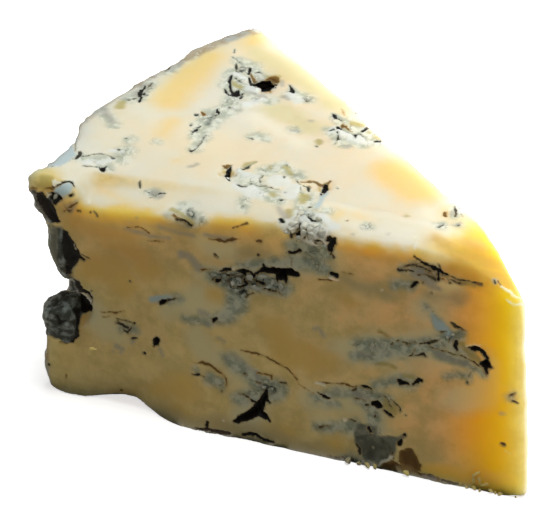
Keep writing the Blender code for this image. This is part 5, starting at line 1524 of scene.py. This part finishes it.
RIND_BEIGE = (0.46, 0.38, 0.26)
RIND_BROWN = (0.24, 0.17, 0.10)
RIND_BLUE = (0.34, 0.37, 0.36)
RIND_WHITE = (0.62, 0.61, 0.55)
RIND_BROWN_PATCHES = (9, 0.4, 0.6)
RIND_BLUE_PATCHES = (5, 0.48, 0.62)
RIND_DUST = (1.6, 0.55, 0.7)


def rind_group():
    """A dry rind: beige and brown, with patches of blue mould and white dust."""
    tree, _, out = new_group("natural rind", {}, {"Color": COLOUR})
    brown = patches(tree, "brown patches", *RIND_BROWN_PATCHES)
    blue = patches(tree, "blue patches", *RIND_BLUE_PATCHES)
    white = patches(tree, "white dust", *RIND_DUST)
    base = blend_colours(tree, "beige and brown", brown, RIND_BEIGE, RIND_BROWN)
    mouldy = blend_colours(tree, "blue mould", blue, base, RIND_BLUE)
    feed(tree, out["Color"], blend_colours(tree, "dusted", white, mouldy, RIND_WHITE))
    return tree


FINE_CRUMB = 0.35
COARSE_CRUMB = 1.4


def grain_group():
    """The fine crumb of the surface, as a height from 0 to 1."""
    tree, given, out = new_group("fine grain", {"Coarse": FLOAT}, {"Height": FLOAT})
    fine = cloud_node(tree, "fine crumb", FINE_CRUMB)
    coarse = cloud_node(tree, "coarse crumb", COARSE_CRUMB)
    mixed = place(tree, "ShaderNodeMix", "crumb", data_type="FLOAT")
    feed(tree, mixed.inputs["Factor"], given["Coarse"])
    feed(tree, mixed.inputs[NUMBER_FIRST], fine)
    feed(tree, mixed.inputs[NUMBER_SECOND], coarse)
    feed(tree, out["Height"], mixed.outputs[NUMBER_RESULT])
    return tree


# ---------------------------------------------------------------- the materials

# Painted shade: the middle of a hole is black for the shade of a deep cavity, while the mesh sinks only a
# little.
HOLE_BLACK = (0.010, 0.008, 0.006)
CRACK_DARK = (0.045, 0.04, 0.028)
CRACK_OLIVE = (0.14, 0.12, 0.055)
CRACK_BROWN = (0.22, 0.125, 0.03)
RIM_BROWN = (0.36, 0.27, 0.12)
RIM_GREEN = (0.38, 0.39, 0.30)
BROWN_RIM = (0.55, 0.36, 0.12)
OLIVE = (0.46, 0.38, 0.12)
PURPLE_GREY = (0.40, 0.37, 0.31)
WHITE_CURD = (0.76, 0.77, 0.70)
BLUE_PATCH = (0.46, 0.56, 0.56)
ASH = (0.15, 0.155, 0.115)
ASH_PALE = (0.27, 0.275, 0.21)
SLATE_DARK = (0.045, 0.05, 0.04)
SLATE_LIGHT = (0.24, 0.275, 0.26)
# Pale flakes, which also paint highlights on ridges.
PALE = (0.88, 0.79, 0.56)
ASH_PATCHES = (2.2, 0.42, 0.68)
SLATE_PATCHES = (1.5, 0.42, 0.68)
OLIVE_CRACKS = (2.4, 0.42, 0.6)
DAMP_NOISE = (0.3, 0.7)
# Each mask over the paste, with its colour and the most that it covers. Patchy ash and slate are laid after
# these.
PLAIN_MOULDS = {
    "white": (WHITE_CURD, 0.8),
    "olive": (OLIVE, 0.8),
    "grey": (PURPLE_GREY, 0.7),
    "blue": (BLUE_PATCH, 1.0),
}
BROWN_RIM_SHARE = 0.6
CRACK_RIM_SHARE = 0.7
HOLE_RIM_SHARE = 0.8
# The grain's coarseness, depth and strength. The size of the damp patches, and the roughness in and out of
# them. The shine. How light sinks in: how far, its share in each colour, and how much of it.
PASTE_FINISH = {"grain": (0.5, 0.25, 0.35), "damp": (4, 0.5, 0.66), "shine": 0.28,
                "sunk_light": (15.0, (1.0, 0.9, 0.85), 1.0)}
CURD_FINISH = {"grain": (0.3, 0.25, 0.4), "damp": (2, 0.45, 0.7), "shine": 0.3,
               "sunk_light": (1.2, (1.0, 0.9, 0.7), 0.5)}
CRUMB_FINISH = {"grain": (0.2, 0.2, 0.4), "damp": (2, 0.45, 0.7), "shine": 0.3,
                "sunk_light": (1.5, (1.0, 0.9, 0.5), 0.7)}


def new_material(name):
    material = bpy.data.materials.new(name)
    material.use_nodes = True
    tree = material.node_tree
    tree.nodes.clear()
    shader = place(tree, "ShaderNodeBsdfPrincipled", name)
    out = place(tree, "ShaderNodeOutputMaterial", "surface")
    feed(tree, out.inputs["Surface"], shader.outputs["BSDF"])
    return material, tree, shader.inputs


def bump(tree, height, distance, strength):
    made = place(tree, "ShaderNodeBump", "relief")
    feed(tree, made.inputs["Height"], height)
    feed(tree, made.inputs["Distance"], distance * MM)
    feed(tree, made.inputs["Strength"], strength)
    return made.outputs["Normal"]


def give_finish(tree, shader, groups, grain, damp, shine, sunk_light):
    """Gives a material its grain, its damp patches, its shine and the light that sinks into it."""
    coarse, depth, strength = grain
    height = use_group(tree, groups["grain"], "grain", Coarse=coarse)["Height"]
    feed(tree, shader["Normal"], bump(tree, height, depth, strength))
    size, in_patches, outside = damp
    damp_noise = cloud_node(tree, "damp noise", size)
    rough = between(tree, "damp patches", damp_noise, *DAMP_NOISE, in_patches, outside)
    feed(tree, shader["Roughness"], rough)
    shader["Specular IOR Level"].default_value = shine
    reach, radius, weight = sunk_light
    shader["Subsurface Weight"].default_value = weight
    shader["Subsurface Scale"].default_value = reach * MM
    shader["Subsurface Radius"].default_value = radius


def cut_paste_material(groups):
    """Paste, then mould, rind and marks over it, each by its own mask."""
    material, tree, shader = new_material("cut_paste")
    paste_masks = {name: mask_of(tree, name.lower()) for name in PASTE_MASKS}
    paste = use_group(tree, groups["paste"], "paste", **paste_masks)["Color"]
    colour = use_group(tree, groups["mould"], "mould", Paste=paste, Bloom=mask_of(tree, "bloom"),
                       Curd=mask_of(tree, "curd"), Cut=mask_of(tree, "cut"))["Color"]
    ash = blend_colours(tree, "ash", patches(tree, "ash patches", *ASH_PATCHES), ASH, ASH_PALE)
    slate_patches = patches(tree, "slate patches", *SLATE_PATCHES)
    slate = blend_colours(tree, "slate", slate_patches, SLATE_DARK, SLATE_LIGHT)
    for name, (tint, most) in {**PLAIN_MOULDS, "ash": (ash, 1.0), "slate": (slate, 1.0)}.items():
        share = reckon(tree, name + " share", "MULTIPLY", mask_of(tree, name), most)
        colour = blend_colours(tree, name, share, colour, tint)
    rind = use_group(tree, groups["rind"], "rind")
    colour = blend_colours(tree, "rind", mask_of(tree, "rind"), colour, rind["Color"])
    rim = blend_colours(tree, "rim of holes", mask_of(tree, "cut"), RIM_GREEN, RIM_BROWN)
    rim = blend_colours(tree, "rim in slate", mask_of(tree, "slate"), rim, SLATE_DARK)
    olive = patches(tree, "olive cracks", *OLIVE_CRACKS)
    crack = blend_colours(tree, "crack", olive, CRACK_DARK, CRACK_OLIVE)
    dark_marks = {
        "brown": (BROWN_RIM, CRACK_BROWN, BROWN_RIM_SHARE),
        "crack": (rim, crack, CRACK_RIM_SHARE),
        # holes: painted shade, black in their middle
        "hole": (rim, HOLE_BLACK, HOLE_RIM_SHARE),
    }
    for name, (edge, middle, most) in dark_marks.items():
        colour = use_group(tree, groups["mark"], name, Color=colour, Depth=mask_of(tree, name), Rim=edge,
                           Middle=middle, Rim_Share=most)["Color"]
    # pale flakes, with painted highlights on the ridges
    colour = blend_colours(tree, "pale flakes", mask_of(tree, "pale"), colour, PALE)
    feed(tree, shader["Base Color"], colour)
    give_finish(tree, shader, groups, **PASTE_FINISH)
    return material


CURD_WHITE = (0.80, 0.76, 0.61)
CURD_GREY = (0.24, 0.26, 0.21)
CURD_FOOT = (0.10, 0.11, 0.07)
# Specks are (size, low, high), and the most that they cover.
CURD_SPECKS = ((0.7, 0.4, 0.65), 0.35)
RAISED = (0.30, 0.62)             # painted shade: a curd is dark below this share of its height, at its foot in the bed, and bright above it


def speckled(tree, colour, speck_colour, places, most):
    share = reckon(tree, "few specks", "MULTIPLY", patches(tree, "specks", *places), most)
    return blend_colours(tree, "specks on it", share, colour, speck_colour)


def curd_material(groups):
    material, tree, shader = new_material("curd_white")
    colour = blend_colours(tree, "bright and dull curds", mask_of(tree, "bright"), CURD_GREY, CURD_WHITE)
    colour = speckled(tree, colour, CURD_GREY, *CURD_SPECKS)
    raised = between(tree, "out of the bed", mask_of(tree, "raised"), *RAISED)
    # painted shade at the foot of each curd
    feed(tree, shader["Base Color"], blend_colours(tree, "dark foot", raised, CURD_FOOT, colour))
    give_finish(tree, shader, groups, **CURD_FINISH)
    return material


CRUMB_PALE = (0.96, 0.68, 0.20)
CRUMB_GREY = (0.30, 0.29, 0.20)
CRUMB_SPECKS = ((0.5, 0.4, 0.65), 0.3)


def crumb_material(groups):
    material, tree, shader = new_material("crumb_paste")
    colour = blend_colours(tree, "grey to pale", mask_of(tree, "bright"), CRUMB_GREY, CRUMB_PALE)
    feed(tree, shader["Base Color"], speckled(tree, colour, DULL, *CRUMB_SPECKS))
    give_finish(tree, shader, groups, **CRUMB_FINISH)
    return material


# ---------------------------------------------------------------- floor, lights and camera

VIEW_TURN = math.radians(38.5)
VIEW_HEIGHT = math.radians(35.5)
VIEW_DISTANCE = 550.0
VIEW_CENTRE = Vector((0, -1.2, 25))
VIEW_OFFSET = (-0.01507, 0.01028)     # how far the view turns off the centre: to the side and up
LENS = 182.3
NEAREST_SEEN = 0.01


def make_camera():
    right = Vector((math.cos(VIEW_TURN), math.sin(VIEW_TURN), 0))
    level = math.cos(VIEW_HEIGHT)
    back = Vector((math.sin(VIEW_TURN) * level, -math.cos(VIEW_TURN) * level, math.sin(VIEW_HEIGHT)))
    up = back.cross(right)
    place_at = VIEW_CENTRE + VIEW_DISTANCE * back
    back = (back - VIEW_OFFSET[0] * right - VIEW_OFFSET[1] * up).normalized()
    right = up.cross(back).normalized()
    up = back.cross(right)
    data = bpy.data.cameras.new("camera")
    data.lens = LENS
    data.clip_start = NEAREST_SEEN
    camera = bpy.data.objects.new("camera", data)
    camera.matrix_world = Matrix.Translation(place_at * MM) @ Matrix((right, up, back)).transposed().to_4x4()
    bpy.context.scene.collection.objects.link(camera)
    bpy.context.scene.camera = camera


FLOOR_SEEN = (0.92, 0.91, 0.88)
FLOOR_BOUNCE = (0.45, 0.42, 0.36)          # what the floor throws back at the wedge
FLOOR_LIFT = (0.62, 0.62, 0.63)            # keeps the wedge's shadow on the floor pale
FLOOR_HALF_SIDE = 3.0                      # in metres
FLOOR_ROUGHNESS = 0.9
BLACK = (0, 0, 0)


def make_floor():
    work = bmesh.new()
    bmesh.ops.create_grid(work, x_segments=2, y_segments=2, size=FLOOR_HALF_SIDE)
    mesh = bpy.data.meshes.new("floor")
    work.to_mesh(mesh)
    work.free()
    floor = bpy.data.objects.new("floor", mesh)
    bpy.context.scene.collection.objects.link(floor)
    material, tree, shader = new_material("pale_floor")
    seen = place(tree, "ShaderNodeLightPath", "ray kind").outputs["Is Camera Ray"]
    feed(tree, shader["Base Color"], blend_colours(tree, "bounce", seen, FLOOR_BOUNCE, FLOOR_SEEN))
    feed(tree, shader["Emission Color"], blend_colours(tree, "glow", seen, BLACK, FLOOR_LIFT))
    shader["Emission Strength"].default_value = 1.0
    shader["Roughness"].default_value = FLOOR_ROUGHNESS
    mesh.materials.append(material)


# Each lamp: which way it stands from the wedge, how far off and how wide in metres, its power and its colour.
LAMPS = {
    "overhead": ((0.12, 0.12, 0.97), 0.9, 0.5, 7.4, (0.94, 0.98, 1.0)),
    "behind": ((0.46, 0.88, 0.07), 0.9, 0.14, 8.2, (1.0, 0.97, 0.95)),
}
FILL_COLOUR = (1.0, 0.95, 0.87, 1)
FILL_STRENGTH = 0.15


def make_lights():
    for name, (towards, away, size, power, colour) in LAMPS.items():
        lamp = bpy.data.lights.new(name, "AREA")
        lamp.energy = power
        lamp.shape = "DISK"
        lamp.size = size
        lamp.color = colour
        light = bpy.data.objects.new(name, lamp)
        towards = Vector(towards).normalized()
        light.location = towards * away
        light.rotation_mode = "QUATERNION"
        light.rotation_quaternion = towards.to_track_quat("Z", "Y")
        bpy.context.scene.collection.objects.link(light)
    world = bpy.data.worlds.new("studio")
    world.use_nodes = True
    sky = world.node_tree.nodes["Background"]
    sky.inputs["Color"].default_value = FILL_COLOUR
    sky.inputs["Strength"].default_value = FILL_STRENGTH
    bpy.context.scene.world = world
    bpy.context.scene.view_settings.view_transform = "Standard"


# ---------------------------------------------------------------- put together


def main():
    groups = {"mark": torn_mark_group(), "paste": paste_group(), "mould": mould_group(), "rind": rind_group(),
              "grain": grain_group()}
    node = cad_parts["wedge"]
    wedge = even_mesh(node)
    relax(wedge.data, SMOOTH_ROUNDS)
    lay_on(wedge.data, node)
    refine(wedge.data)
    dress(wedge.data)
    wedge.data.shade_smooth()
    wedge.data.materials.clear()
    wedge.data.materials.append(cut_paste_material(groups))
    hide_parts("wedge")
    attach(wedge, "root")
    curds = curd_lumps(wedge.data)
    curds.data.materials.append(curd_material(groups))
    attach(curds, "root")
    crumbs = foot_crumbs()
    crumbs.data.materials.append(crumb_material(groups))
    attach(crumbs, "root")
    make_floor()
    make_lights()
    make_camera()


main()
